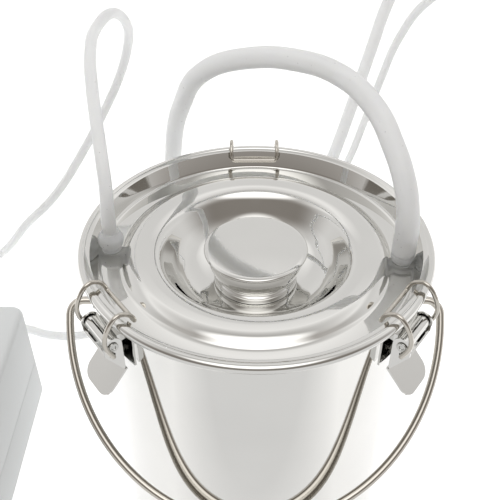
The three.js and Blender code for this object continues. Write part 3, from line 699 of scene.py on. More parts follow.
# ---------------------------------------------------------------- camera, floor and light
@dataclass
class Studio:
    """White floor, a soft bright room and the camera."""

    eye: Point = (-0.0085, -0.3899, 0.566)
    down_deg: float = 39.0
    lens: float = 52.3
    shift: float = 0.013
    floor_side: float = 16.0
    floor_z: float = -0.0006
    room_level: float = 1.25
    glow_lift_deg: float = 66.0
    glow_inner_deg: float = 9.0
    glow_outer_deg: float = 34.0
    glow_level: float = 1.2
    window_place: Point = (-1.6, -0.6, 2.6)
    window_side: float = 1.2
    window_power: float = 5.0
    window_tone: Point = (0.97, 0.98, 1.0)
    lid_middle: Point = (0.0, 0.0, 0.2)
    shade_from: float = -0.20
    shade_to: float = -0.05
    turn_from: float = -0.55
    turn_to: float = 0.25
    sky_ahead: Sequence[Point] = (
        (0.0, 0.64, 0.97), (0.35, 0.74, 0.98), (0.55, 0.70, 0.98), (0.64, 0.70, 0.98), (0.74, 0.92, 0.98),
        (1.0, 0.45, 0.95),
    )
    sky_behind: Sequence[Point] = (
        (0.0, 0.42, 0.90), (0.28, 0.20, 0.82), (0.55, 0.24, 0.84), (0.80, 0.40, 0.90), (1.0, 0.40, 0.95),
    )

    def build(self) -> None:
        """Set the camera, the floor, the room's light and the window's soft lamp."""
        self.camera()
        self.floor()
        self.room()
        self.window()
        bpy.context.scene.view_settings.view_transform = "Standard"

    def camera(self) -> None:
        """Place the camera above the front of the pail, looking down at its lid."""
        Bench.clear()
        bpy.ops.object.camera_add(location=self.eye, rotation=(math.radians(90 - self.down_deg), 0, 0))
        camera = bpy.context.object
        camera.data.lens = self.lens
        camera.data.sensor_width = 36
        camera.data.shift_x = self.shift
        camera.data.clip_start = 0.01
        bpy.context.scene.camera = camera

    def floor(self) -> None:
        """Lay a white floor that glows a little, with painted shade in front of the pail that the steel
        wall mirrors darker.
        """
        Bench.clear()
        bpy.ops.mesh.primitive_plane_add(size=self.floor_side, location=(0, 0, self.floor_z))
        floor = bpy.context.object
        floor.name = "floor"
        sheet = NodeSheet("white_floor")
        sheet.shade(Roughness=0.75, Specular_IOR_Level=0.2)
        place = sheet.node("TexCoord")
        split = sheet.node("SeparateXYZ")
        depth = sheet.node("MapRange", From_Min=self.shade_from, From_Max=self.shade_to)
        sheet.link(place.outputs["Object"], split.inputs["Vector"])
        sheet.link(split.outputs["Y"], depth.inputs["Value"])
        # Painted shade: the floor between the camera and the pail is darkened to a quarter, so the pail's
        # front wall mirrors it darker.
        sheet.tint(depth.outputs["Result"], scaled(Tone.FLOOR, 0.25), Tone.FLOOR.value)
        sheet.shade(Emission_Color=(1.0, 1.0, 1.0, 1.0), Emission_Strength=0.75)
        floor.data.materials.append(sheet.material)

    def room(self) -> None:
        """Light the room by elevation: bright ahead and above, dimmer and warmer behind the camera."""
        world = bpy.data.worlds.new("room")
        bpy.context.scene.world = world
        world.use_nodes = True
        sheet = Nodes(world.node_tree)
        background = sheet.tree.nodes["Background"]
        background.inputs["Strength"].default_value = self.room_level
        place = sheet.node("TexCoord")
        split = sheet.node("SeparateXYZ")
        sheet.link(place.outputs["Generated"], split.inputs["Vector"])
        side = sheet.node("MapRange", interpolation_type="SMOOTHSTEP", From_Min=self.turn_from)
        side.inputs["From Max"].default_value = self.turn_to
        sheet.link(split.outputs["Y"], side.inputs["Value"])
        mix = sheet.node("Mix", data_type="RGBA")
        sheet.link(side.outputs["Result"], mix.inputs["Factor"])
        for stops, socket in ((self.sky_behind, "A"), (self.sky_ahead, "B")):
            sheet.link(self.sky(sheet, split.outputs["Z"], stops), mix.inputs[socket])
        total = sheet.node("Mix", data_type="RGBA", blend_type="ADD", Factor=1.0)
        sheet.link(mix.outputs["Result"], total.inputs["A"])
        sheet.link(self.glow(sheet, place.outputs["Generated"]), total.inputs["B"])
        sheet.link(total.outputs["Result"], background.inputs["Color"])

    def glow(self, sheet: Nodes, direction: Socket) -> Socket:
        """A soft round light high behind the camera, which the lid's front slope mirrors.

        Args:
            sheet: The world's nodes.
            direction: The direction that is looked in.

        Returns:
            The light's brightness.
        """
        aim = sheet.node("VectorMath", operation="DOT_PRODUCT")
        lift = math.radians(self.glow_lift_deg)
        aim.inputs[1].default_value = (0.0, -math.cos(lift), math.sin(lift))
        sheet.link(direction, aim.inputs[0])
        outer, inner = (math.cos(math.radians(d)) for d in (self.glow_outer_deg, self.glow_inner_deg))
        fade = sheet.node("MapRange", interpolation_type="SMOOTHSTEP", From_Min=outer, From_Max=inner)
        fade.inputs["To Max"].default_value = self.glow_level
        sheet.link(aim.outputs["Value"], fade.inputs["Value"])
        return fade.outputs["Result"]

    @staticmethod
    def sky(sheet: Nodes, height: Socket, stops: Sequence[Point]) -> Socket:
        """Run brightness up the sky.

        Args:
            sheet: The world's nodes.
            height: The sine of the elevation.
            stops: Height, brightness and how blue the light is against its red, bottom up.

        Returns:
            The colour socket.
        """
        ramp = sheet.node("ValToRGB")
        elements = ramp.color_ramp.elements
        while len(elements) < len(stops):
            elements.new(0.5)
        for element, (position, level, blue) in zip(elements, stops):
            element.position = position
            element.color = (level, level * (1 + blue) / 2, level * blue, 1.0)
        sheet.link(height, ramp.inputs["Fac"])
        return ramp.outputs["Color"]

    def window(self) -> None:
        """Hang a soft lamp that looks at the pail's lid and doesn't show in the steel."""
        Bench.clear()
        bpy.ops.object.light_add(type="AREA", location=self.window_place)
        lamp = bpy.context.object
        lamp.name = "window_softbox"
        lamp.data.shape = "RECTANGLE"
        lamp.data.size = lamp.data.size_y = self.window_side
        lamp.data.energy = self.window_power
        lamp.data.color = self.window_tone
        aim = Vector(self.lid_middle) - Vector(self.window_place)
        lamp.rotation_euler = aim.to_track_quat("-Z", "Y").to_euler()
        lamp.visible_glossy = False


# ---------------------------------------------------------------- hoses
VACUUM_HOSE_ROUTE = [
    (-0.0999, 0.004, 0.2638), (-0.0999, 0.0041, 0.275), (-0.0998, 0.0094, 0.293),
    (-0.1042, 0.0295, 0.316), (-0.1126, 0.068, 0.336), (-0.121, 0.116, 0.344),
    (-0.124, 0.16, 0.343), (-0.118, 0.206, 0.338), (-0.1135, 0.246, 0.312),
    (-0.1195, 0.274, 0.28), (-0.134, 0.288, 0.24), (-0.153, 0.284, 0.204),
    (-0.173, 0.266, 0.173), (-0.205, 0.24, 0.132), (-0.246, 0.244, 0.088),
    (-0.276, 0.256, 0.048), (-0.302, 0.264, 0.022), (-0.325, 0.256, 0.009),
    (-0.343, 0.236, 0.005), (-0.354, 0.208, 0.005), (-0.356, 0.18, 0.0085),
    (-0.353, 0.156, 0.016), (-0.35, 0.132, 0.0266), (-0.35, 0.118, 0.03), (-0.35, 0.1056, 0.03),
]
MILK_HOSE_ROUTE = [
    (0.0995, -0.009, 0.2638), (0.0994, -0.0086, 0.277), (0.0982, -0.006, 0.2915),
    (0.0946, 0.0008, 0.308), (0.0886, 0.0125, 0.323), (0.076, 0.035, 0.342),
    (0.054, 0.057, 0.354), (0.026, 0.07, 0.358), (-0.004, 0.082, 0.354), (-0.036, 0.101, 0.336),
    (-0.058, 0.135, 0.29), (-0.071, 0.172, 0.228), (-0.076, 0.196, 0.15), (-0.07, 0.214, 0.078),
    (-0.046, 0.236, 0.03), (-0.012, 0.263, 0.011), (0.024, 0.296, 0.009), (0.058, 0.334, 0.018),
    (0.084, 0.364, 0.048), (0.105, 0.391, 0.09), (0.126, 0.424, 0.138), (0.148, 0.463, 0.189),
    (0.171, 0.503, 0.239), (0.2, 0.538, 0.283), (0.233, 0.561, 0.31), (0.271, 0.572, 0.3175),
    (0.308, 0.573, 0.302), (0.337, 0.566, 0.26), (0.357, 0.546, 0.19), (0.364, 0.512, 0.108),
    (0.366, 0.468, 0.058), (0.366, 0.428, 0.042), (0.366, 0.3913, 0.04),
]
PULSE_HOSE_ROUTE = [
    (-0.305, 0.1056, 0.03), (-0.305, 0.118, 0.0298), (-0.303, 0.137, 0.0255),
    (-0.293, 0.157, 0.0175), (-0.27, 0.169, 0.0095), (-0.243, 0.167, 0.0055),
    (-0.214, 0.158, 0.005), (-0.182, 0.158, 0.005), (-0.148, 0.176, 0.005),
    (-0.108, 0.214, 0.005), (-0.058, 0.262, 0.005), (0, 0.318, 0.005), (0.048, 0.35, 0.009),
    (0.088, 0.364, 0.034), (0.116, 0.366, 0.086), (0.132, 0.364, 0.146), (0.145, 0.36, 0.205),
    (0.156, 0.349, 0.256), (0.174, 0.325, 0.304), (0.205, 0.292, 0.338), (0.248, 0.272, 0.354),
    (0.296, 0.276, 0.34), (0.332, 0.302, 0.296), (0.352, 0.346, 0.236), (0.362, 0.396, 0.174),
    (0.366, 0.427, 0.134), (0.367, 0.434, 0.105), (0.3667, 0.4273, 0.08), (0.366, 0.409, 0.0617),
    (0.366, 0.386, 0.0551), (0.366, 0.3776, 0.055),
]


@dataclass
class Hose:
    """One free silicone hose."""

    name: str
    route: list[Point]
    length: float
    diameter: float
    finish: SiliconeFinish
    stiffness: str
    flare: float
    overlap: float

    def build(self) -> None:
        """Lay the hose along its route, its ends pushed over the fittings and swollen by them."""
        piece = Bench.smooth_curve(f"{self.name}_line", self.pushed_on(), self.diameter / 2, 14)
        knots = piece.data.splines[0].bezier_points
        for knot in (*knots[:3], *knots[-3:]):
            knot.radius = self.flare
        stand(piece, self.finish, f"{self.name}_hose")

    def pushed_on(self) -> list[Vector]:
        """The route with each end run on over its fitting."""
        places = [Vector(p) for p in self.route]
        start = (places[0] - places[1]).normalized() * self.overlap
        end = (places[-1] - places[-2]).normalized() * self.overlap
        return [places[0] + start, *places, places[-1] + end]


@dataclass
class Hoses:
    """The three hoses between the lid, the pump and the cluster."""

    thin: float = 0.009
    thick: float = 0.015

    def build(self) -> None:
        """Make the vacuum, milk and pulse hoses."""
        hoses = (
            Hose("vacuum", VACUUM_HOSE_ROUTE, 0.866, self.thin, TUBING, "medium", 1.12, 0.009),
            Hose("milk", MILK_HOSE_ROUTE, 1.597, self.thick, THICK_TUBING, "stiff", 1.08, 0.007),
            Hose("pulse", PULSE_HOSE_ROUTE, 1.363, self.thin, TUBING, "medium", 1.0, 0.008),
        )
        for hose in hoses:
            hose.build()


# ---------------------------------------------------------------- pail
@dataclass
class Pail:
    """The drawn pail, its two bail ears and the bail."""

    radius: float = 109.5
    height: float = 246.5
    corner: float = 18.0
    sheet: float = 1.0
    bead: Point = (112.9, 254.4, 2.1)
    ear_face: float = 109.9
    pivot_z: float = 203.0
    bail_half: float = 135.0
    bail_bend: float = 10.0
    bail_sweep: float = 149.5
    bail_wire: float = 3.0
    pin_end: float = 112.9
    lean_deg: float = 45.0
    bow_steps: int = 72

    def build(self) -> None:
        """Make every piece of the pail."""
        stand(Bench.turned("pail", self.outline(), 160), MIRROR, "bucket_body")
        for side, word in ((-1, "left"), (1, "right")):
            ear = Bench.turned(f"bail_ear_fitting_{word}", self.ear_outline(), 48)
            Bench.place(ear, self.to_side(side))
            stand(ear, SATIN, f"bail_ear_{word}")
        stand(Bench.wire("bail", self.bail_path(), self.bail_wire, 0.0), WIRE, "bail_handle", body="bail")

    def outline(self) -> Outline:
        """The wall from the middle of the base, over the rim bead and back inside."""
        flat = self.radius - self.corner
        base = eased([(0, 0), (60, 0), (62, 1.2), (68, 1.2), (70, 0), (flat, 0)], [1, 1, 1, 1], 3)
        wall = arc(flat, self.corner, self.corner, 270, 360, 14)
        outside = [*base[:-1], *wall, (self.radius, self.height)]
        inside = offset_line(outside, -self.sheet)
        inside[0] = (0.0, inside[0][1])
        r, z, radius = self.bead
        return [*outside, *arc(r, z, radius, -110, 190, 16), *reversed(inside)]

    @staticmethod
    def ear_outline() -> Outline:
        """A flanged boss with a rounded lip and an open bore for the bail's end."""
        corners = [(0, 0), (11, 0), (11, 1.4), (8, 2.2), (6.5, 3.4), (6.5, 8), (3.4, 8)]
        skin = eased(corners, [0.3, 0.5, 0.8, 0.8, 0.9], 4)
        return [*skin, (3.4, 2.2), (0, 2.2)]

    def to_side(self, side: int) -> Matrix:
        """From a part turned about Z to the same part pointing out of the pail's side."""
        turn = Bench.rotated(90 * side, "Y")
        return Bench.at(side * self.ear_face, 0, self.pivot_z) @ turn

    def bail_path(self) -> list[Point]:
        """The bail's line: a pin, a tight bend and a half-elliptical bow, leaning on the wall."""
        lean = math.radians(self.lean_deg)
        bend = self.bail_bend
        turn = arc(self.bail_half - bend, bend, bend, -90, 0, 8)
        eye = [(-self.pin_end, 0.0), *((-x, y) for x, y in turn)]
        bow = []
        for i in range(1, self.bow_steps):
            angle = math.pi * (1 - i / self.bow_steps)
            bow.append((self.bail_half * math.cos(angle), bend + self.bail_sweep * math.sin(angle)))
        line = [*eye, *bow, *((-x, d) for x, d in reversed(eye))]
        return [(x, -d * math.sin(lean), self.pivot_z - d * math.cos(lean)) for x, d in line]


# ---------------------------------------------------------------- lid
@dataclass
class LidPort:
    """A silicone hose fitting through the lid."""

    name: str
    x: float
    y: float
    bore: float
    neck: float
    grip: Outline
    roundings: Sequence[float]
    face: float = 249.1
    low: float = 236.8
    rise: float = 14.0

    def build(self) -> None:
        """Turn the fitting and stand it in the lid."""
        above = eased([(r, self.face + z) for r, z in self.grip], self.roundings, 4)
        outline = [(self.bore, self.low), (self.neck, self.low), (self.neck, self.face), *above]
        outline += [(self.bore, self.face + self.rise), (self.bore, self.low)]
        piece = Bench.turned(f"{self.name}_fitting", outline, 48)
        Bench.place(piece, Bench.at(self.x, self.y, 0))
        stand(piece, GROMMET, self.name)


@dataclass
class Lid:
    """The pressed lid with its knob and two hose fittings."""

    sheet: float = 1.0
    stud_hole: float = 3.4
    roll: Point = (116.9, 259.8, 3.2)

    def build(self) -> None:
        """Make every piece of the lid."""
        cuff = [(6.9, 0), (6.9, 2.2), (8.3, 4.6), (9, 7), (9, 9.6), (8.2, 11.2), (6.2, 14)]
        collar = [
            (6.9, 0), (6.9, 1.7), (8, 2.8), (8, 5.4), (7.3, 6.2), (8, 7), (8, 9.6), (7, 11), (6.4, 14),
        ]
        ports = [
            LidPort("vacuum_port", -99.9, 4.0, 2.6, 4.2, cuff, [0.8, 1, 1, 1, 1]),
            LidPort("milk_port", 99.5, -9.0, 4.6, 5.4, collar, [0.5, 0.5, 0.5, 0.4, 0.5, 0.6, 0.6]),
        ]
        lid = Bench.turned("lid_pressing", self.outline(), 192, 60)
        for port in ports:
            hole = Bench.rod("hole", port.neck + 0.3, (port.x, port.y, 240), (port.x, port.y, 256), 48)
            Bench.cut(lid, [hole])
        Bench.seal(lid, 60)
        stand(lid, MIRROR, "lid")
        stand(Bench.turned("lid_grip_knob", self.knob_outline(), 128, 50), PRESSED, "lid_knob")
        for port in ports:
            port.build()
        SHELF.repaint("knob_nut", SATIN)
        for node in ("lid_gasket", "knob_washer", "vacuum_port_nut", "milk_port_nut"):
            SHELF.repaint(node, GROMMET)

    def outline(self) -> Outline:
        """Dish, raised ring, flat channel, outer wall and rolled edge, each corner drawn round."""
        corners = [
            (self.stud_hole, 225), (30, 225), (40, 226.4), (49, 230.6), (56.5, 237.6), (64.8, 250.2),
            (68, 252.9), (74, 254), (84, 254), (88, 252.6), (92.6, 248.8), (107.3, 248.8), (111.9, 261.5),
        ]
        top = eased(corners, [5, 5, 4, 4, 2.4, 2.2, 3, 2.4, 2.2, 2, 2.2], 6)
        under = offset_line(top, self.sheet)
        under[-1] = (112.8, 260.7)
        r, z, radius = self.roll
        return [*top, *arc(r, z, radius, 138, -200, 30), *reversed(under), top[0]]

    @staticmethod
    def knob_outline() -> Outline:
        """A mushroom pressing: flat top with a rounded edge, a waist below it and a flared foot."""
        corners = [
            (0, 253.5), (33.5, 253.5), (35.4, 252.9), (36, 251.6), (35.2, 250.4), (32.8, 249.6),
            (33, 244), (31, 237.4), (26.4, 232), (29, 229.8), (29.4, 226.4), (28.4, 225.4),
        ]
        skin = eased(corners, [1.0, 0.7, 0.7, 0.6, 0.5, 2, 2, 1.4, 1, 0.5], 5)
        inside = offset_line(skin, 1.2)
        inside[0] = (5.0, inside[0][1])
        return [*skin, *reversed(inside), (5, 225.4), (3, 225.4), (3, 212), (2, 211), (0, 211)]


# ---------------------------------------------------------------- draw latches
class Where(Enum):
    """The three latches and the direction each looks, in degrees round the pail."""

    BACK = 90.0
    LEFT = 216.5
    RIGHT = 323.5


@dataclass
class DrawLatch:
    """One over-centre latch: local +X points out of the pail and +Y runs along its wall."""

    where: Where
    half_width: float = 19.0
    plate: Point = (109.9, 222.0, 246.0)
    plate_thick: float = 1.4
    pivot: tuple[float, float] = (120.5, 242.0)
    hook: tuple[float, float] = (121.5, 235.5)
    pin: float = 2.1
    barrel: float = 4.6
    barrel_half: float = 12.8
    ear_inside: float = 13.8
    ear_thick: float = 1.2
    wire: float = 1.5
    wire_half: float = 18.0
    tab_half: float = 15.5
    tab_length: float = 25.0
    tab_corner: float = 9.0
    flare_deg: float = 42.0

    def build(self) -> None:
        """Make the bracket, pin, lever and wire and turn them to their place round the pail."""
        word = self.where.name.lower()
        turn = Bench.rotated(self.where.value, "Z")
        makers: list[tuple[str, Callable[[str], Piece], str, Finish]] = [
            ("bracket", self.make_bracket, "root", PRESSED),
            ("pin", self.make_pin, "root", SATIN),
            ("lever", self.make_lever, f"lever_{word}", PRESSED),
            ("wire", self.make_wire, f"wire_{word}", WIRE),
        ]
        for kind, make, body, finish in makers:
            piece = make(f"draw_{kind}_{word}")
            Bench.place(piece, turn)
            stand(piece, finish, f"latch_{kind}_{word}", body=body)

    def make_bracket(self, name: str) -> Piece:
        """Wall plate, arm and rolled barrel in one pressing, with the roll's seam on top."""
        x, z = self.pivot
        radius, low, high = self.plate
        half = math.degrees(math.asin(self.half_width / radius))
        rim = [*arc(0, 0, radius + self.plate_thick, -half, half, 14), *arc(0, 0, radius, half, -half, 14)]
        plate = Bench.plate(name, rim, low, high)
        Bench.place(plate, SWAP_Y_Z)
        Bench.seal(plate, 30)
        arm_root = radius + 0.6
        side = [(arm_root, 245.4), (arm_root, 240), (x - 2, z - 3.8), (x - 2, z + 3.8)]
        arm = Bench.plate("arm", side, -11, 11)
        barrel = Bench.rod("barrel", self.barrel, (x, -self.barrel_half, z), (x, self.barrel_half, z), 48)
        Bench.cut(plate, [arm, barrel], "UNION")
        bore = Bench.rod("bore", self.pin + 0.3, (x, -20, z), (x, 20, z), 32)
        seam = Bench.block("seam", (x + 0.6, -10, z + 1), (x + 1.6, 10, z + 8))
        Bench.cut(plate, [bore, seam])
        Bench.seal(plate, 30)
        Bench.soften(plate, 0.3)
        return plate

    def make_pin(self, name: str) -> Piece:
        """A rivet with a rolled eyelet head at each end."""
        end = self.ear_inside + self.ear_thick + 0.3
        rise = end + 0.9
        corners = [
            (self.pin, end), (3.5, end), (3.2, rise), (1.6, rise), (1.3, end + 0.2), (0, end + 0.2),
        ]
        head = eased(corners, [0.2, 0.4, 0.3, 0.1], 4)
        piece = Bench.turned(name, [*((r, -z) for r, z in reversed(head)), *head], 32)
        x, z = self.pivot
        Bench.place(piece, Bench.at(x, 0, z) @ Bench.rotated(90, "X"))
        return piece

    def make_lever(self, name: str) -> Piece:
        """Two ears on a sloping web that bends out into a rounded thumb tab."""
        x, z = self.pivot
        heel, toe = (x + 5.8, z - 6), (x - 5.6, z - 23.4)
        ear = [*arc(x, z, 6.3, 180, -20, 18), heel, toe, (x - 6.4, z - 21.4)]
        inner, outer = self.ear_inside, self.ear_inside + self.ear_thick
        lever = Bench.plate(name, ear, inner, outer)
        other = Bench.plate("ear", ear, -outer, -inner)
        inward = offset_line([heel, toe], self.ear_thick)
        web = Bench.plate("web", [heel, toe, *reversed(inward)], -inner - 1, inner + 1)
        Bench.cut(lever, [other, web, self.make_tab(toe)], "UNION")
        holes = ((self.pin + 0.3, self.pivot, 32), (self.wire + 0.6, self.hook, 24))
        Bench.cut(lever, [Bench.rod("hole", r, (u, -20, w), (u, 20, w), n) for r, (u, w), n in holes])
        Bench.seal(lever, 30)
        Bench.soften(lever, 0.25)
        return lever

    def make_tab(self, toe: tuple[float, float]) -> Piece:
        """The thumb tab, flaring down and out from the toe of the lever's web."""
        half, length, corner = self.tab_half, self.tab_length, self.tab_corner
        left = arc(corner - half, corner - length, corner, 180, 270, 10)
        right = arc(half - corner, corner - length, corner, 270, 360, 10)
        tab = Bench.plate("tab", [(-half, 1), *left, *right, (half, 1)], 0, self.ear_thick)
        flare = math.radians(self.flare_deg)
        up = Vector((-math.sin(flare), 0, math.cos(flare)))
        along = Vector((0, 1, 0))
        basis = Matrix((along, -along.cross(up), up)).transposed().to_4x4()
        Bench.place(tab, Bench.at(toe[0] - 0.3, 0, toe[1]) @ basis)
        return tab

    def make_wire(self, name: str) -> Piece:
        """The draw wire: from the lever's holes, up over the lid's roll and down inside it."""
        hook_x, hook_z = self.hook
        side = [
            (hook_x, hook_z), (125.8, 244.3), (127, 250.5), (125.4, 257.5), (121, 264.8),
            (116.3, 268.2), (111.2, 267), (106.6, 262.5), (105, 257),
        ]
        leg = [(x, self.wire_half, z) for x, z in side]
        other = [(x, -y, z) for x, y, z in reversed(leg)]
        end = self.ear_inside - 0.6
        path = [(hook_x, end, hook_z), *leg, *other, (hook_x, -end, hook_z)]
        return Bench.wire(name, path, self.wire, 2.6)


# ---------------------------------------------------------------- vacuum and pulsation unit
@dataclass
class PumpUnit:
    """The moulded case, its feet, its rear fittings and its front panel."""

    low: Point = (-396.0, -151.0, 6.0)
    high: Point = (-206.0, 89.0, 115.0)
    seam: float = 51.0
    wall: float = 2.5
    corner: float = 12.0
    edge: float = 5.0
    panel_z: float = 84.0
    gauge_x: float = -350.0
    rocker_x: float = -300.0
    knob_x: float = -254.0
    rear_z: float = 30.0
    vacuum_x: float = -350.0
    pulse_x: float = -305.0
    inlet_x: float = -240.0
    gap: float = 0.3
    marks: int = 28
    marks_apart_deg: int = 10
    first_mark_deg: int = 225
    marks_numbered: int = 9

    @property
    def panel_y(self) -> float:
        """Where what stands on the front panel starts."""
        return self.low[1] - self.gap

    def build(self) -> None:
        """Make every piece of the unit."""
        self.build_shells()
        self.build_feet()
        self.build_rear()
        self.build_gauge()
        self.build_controls()
        SHELF.repaint("vacuum_motor", SATIN)
        SHELF.repaint("pump_head", BLACK_NYLON)
        SHELF.repaint("pulsator_valve", VALVE_BRASS)
        SHELF.repaint("control_board", BOARD_GREEN)

    def half_case(self, name: str, low: float, high: float, closed_up: bool) -> Piece:
        """One moulded half: rounded uprights, a soft closed edge and an open rim.

        Args:
            name: The piece's name.
            low: Its lowest height.
            high: Its highest height.
            closed_up: Whether its closed side faces up.

        Returns:
            The hollow shell.
        """
        piece = Bench.block(name, (self.low[0], self.low[1], low), (self.high[0], self.high[1], high))
        Bench.pick_edges(piece, lambda a, b: abs(a.z - b.z) > 0.01)
        bpy.ops.mesh.bevel(offset=self.corner * MM, segments=10, affect="EDGES")
        shut, open_ = (high, low) if closed_up else (low, high)
        Bench.pick_edges(piece, lambda a, b: max(abs(p.z - shut * MM) for p in (a, b)) < TOUCHING)
        bpy.ops.mesh.bevel(offset=self.edge * MM, segments=6, affect="EDGES")
        Bench.pick_faces(piece, lambda centre, normal: abs(centre.z - open_ * MM) < TOUCHING)
        bpy.ops.mesh.delete(type="FACE")
        Bench.seal(piece, 35)
        Bench.modify(piece, "SOLIDIFY", thickness=self.wall * MM, offset=-1.0, use_even_offset=True)
        Bench.pick_edges(piece, lambda a, b: self.on_outer_rim(a, open_) and self.on_outer_rim(b, open_))
        bpy.ops.mesh.bevel(offset=0.7 * MM, segments=3, affect="EDGES")
        bpy.ops.object.mode_set(mode="OBJECT")
        return piece

    def on_outer_rim(self, place: Vector, height: float) -> bool:
        """Whether a point lies on the rim's outer edge."""
        if abs(place.z - height * MM) > TOUCHING:
            return False
        x, y = place.x / MM, place.y / MM
        dx = max(self.low[0] + self.corner - x, x - self.high[0] + self.corner, 0.0)
        dy = max(self.low[1] + self.corner - y, y - self.high[1] + self.corner, 0.0)
        if dx > 0 and dy > 0:
            return math.hypot(dx, dy) > self.corner - 0.5
        return max(dx, dy) > self.corner - 0.5

    def build_shells(self) -> None:
        """Cover and base, with the holes for what goes through their walls."""
        cover = self.half_case("case_cover", self.seam + 0.15, self.high[2], True)
        front = self.low[1]
        holes = [
            Bench.rod("hole", 5, (x, front - 6, self.panel_z), (x, front + 6, self.panel_z))
            for x in (self.gauge_x, self.knob_x)
        ]
        low_corner = (self.rocker_x - 12, front - 6, self.panel_z - 8.8)
        holes.append(Bench.block("window", low_corner, (self.rocker_x + 12, front + 6, self.panel_z + 8.8)))
        Bench.cut(cover, holes)
        Bench.seal(cover, 35)
        stand(cover, CASE_GREY, "pump_cover")
        base = self.half_case("case_base", self.low[2], self.seam - 0.15, False)
        rear = self.high[1]
        spots = ((self.vacuum_x, 4.3), (self.pulse_x, 4.3), (self.inlet_x, 5.5))
        for x, radius in spots:
            hole = Bench.rod("hole", radius, (x, rear - 6, self.rear_z), (x, rear + 6, self.rear_z))
            Bench.cut(base, [hole])
        Bench.seal(base, 35)
        stand(base, CASE_GREY, "pump_base")

    def build_feet(self) -> None:
        """Four rubber feet, each turned and placed."""
        outline = eased([(0, 0), (7.5, 0), (9, 1.2), (8.2, 5.7), (0, 5.7)], [0.6, 0.6, 0.4], 4)
        inset = 24
        rows = {"front": self.low[1] + inset, "rear": self.high[1] - inset}
        sides = {"left": self.low[0] + inset, "right": self.high[0] - inset}
        for row, y in rows.items():
            for side, x in sides.items():
                foot = Bench.turned(f"rubber_foot_{row}_{side}", outline, 40)
                Bench.place(foot, Bench.at(x, y, 0))
                stand(foot, BLACK_NYLON, f"pump_foot_{row}_{side}")

    def outward(self, rear: bool, x: float) -> Matrix:
        """From a part turned about Z to one that points out of the rear or front wall."""
        sign, y, z = (-90, self.high[1], self.rear_z) if rear else (90, self.panel_y, self.panel_z)
        return Bench.at(x, y, z) @ Bench.rotated(sign, "X")

    def turned_at(
        self, name: str, outline: Outline, x: float, rear: bool = False, steps: int = 64
    ) -> Piece:
        """Spin an outline and point it out of the case's front or rear at x."""
        piece = Bench.turned(name, outline, steps)
        Bench.place(piece, self.outward(rear, x))
        return piece

    def build_rear(self) -> None:
        """Two ridged barbs and the low-voltage inlet."""
        ridges = [
            (3, 5.2), (3.8, 6.4), (3, 9.2), (3.8, 10.4), (3, 13.2), (3.2, 14), (2.6, 16),
            (1.4, 16), (1.4, -10), (0, -10),
        ]
        neck = eased([(0, -14), (4, -14), (4, 0.3), (7, 0.3), (7, 3.3), (3, 3.3)], [0.3, 0.01, 0.6, 0.6], 4)
        for word, x in (("vacuum", self.vacuum_x), ("pulse", self.pulse_x)):
            barb = self.turned_at(f"rear_{word}_barb", [*neck, *ridges], x, True)
            stand(barb, BLACK_NYLON, f"{word}_barb")
        inlet = [
            (0, -6), (5, -6), (5, 0.3), (7, 0.3), (7, 2), (3.5, 2), (3.5, -4),
            (1.1, -4), (1.1, 1), (0.6, 1.6), (0, 1.6),
        ]
        socket = self.turned_at("low_voltage_inlet", inlet, self.inlet_x, True)
        Bench.soften(socket, 0.25)
        stand(socket, BLACK_NYLON, "power_inlet")

    def build_gauge(self) -> None:
        """The vacuum gauge: bezel, printed dial, needle and lens."""
        rim = [
            (0, -8), (4.5, -8), (4.5, 0), (19, 0), (20, 1), (20, 9), (19, 10), (17.6, 10),
            (17.6, 3), (0, 3),
        ]
        bezel = eased(rim, [0.4, 0.01, 0.4, 0.6, 0.8, 0.8, 0.4, 0.2], 4)
        stand(self.turned_at("gauge_bezel", bezel, self.gauge_x, steps=96), BLACK_NYLON, "gauge_case")
        disc = eased([(0, 3.3), (17.2, 3.3), (17.2, 4.3), (0, 4.3)], [0.1, 0.1], 2)
        dial = self.turned_at("gauge_face", disc, self.gauge_x)
        stand(dial, DIAL_WHITE, "gauge_dial")
        stand(self.dial_marks(), BLACK_NYLON)
        stand(self.needle(), BLACK_NYLON, "gauge_needle", body="needle")
        dome = [(0, 8.6), (17.2, 8.6), (17.2, 9.4), (16.4, 9.8), (0, 9.8)]
        stand(self.turned_at("gauge_glass", dome, self.gauge_x), CLEAR_COVER, "gauge_lens")

    def dial_marks(self) -> Piece:
        """Scale ticks and plain numbers round the dial, a little proud of its face."""
        marks: list[Piece] = []
        face = self.panel_y - 4.3
        for step in range(self.marks):
            long_one = step % 3 == 0
            inner, half = (12.6, 0.32) if long_one else (14.0, 0.16)
            tick = Bench.block("tick", (inner, face - 0.12, -half), (16.0, face, half))
            turn = Bench.rotated(self.marks_apart_deg * step - self.first_mark_deg, "Y")
            Bench.place(tick, Bench.at(self.gauge_x, 0, self.panel_z) @ turn)
            marks.append(tick)
        for step in range(0, self.marks, self.marks_numbered):
            angle = math.radians(self.first_mark_deg - self.marks_apart_deg * step)
            place = (self.gauge_x + 9.6 * math.cos(angle), face, self.panel_z + 9.6 * math.sin(angle))
            marks.append(self.numeral(str(step // self.marks_numbered * 20), place))
        return Bench.joined("gauge_marks", marks)

    @staticmethod
    def numeral(text: str, place: Point) -> Piece:
        """A plain number as a thin mesh on the dial."""
        Bench.clear()
        bpy.ops.object.text_add(location=(0, 0, 0))
        piece = bpy.context.object
        piece.data.body = text
        piece.data.size = 3.6 * MM
        piece.data.align_x, piece.data.align_y = "CENTER", "CENTER"
        piece.data.extrude = 0.06 * MM
        bpy.ops.object.convert(target="MESH")
        piece = bpy.context.object
        move = Bench.at(place[0], place[1] - 0.06, place[2])
        Bench.place(piece, move @ Bench.rotated(90, "X"))
        return piece

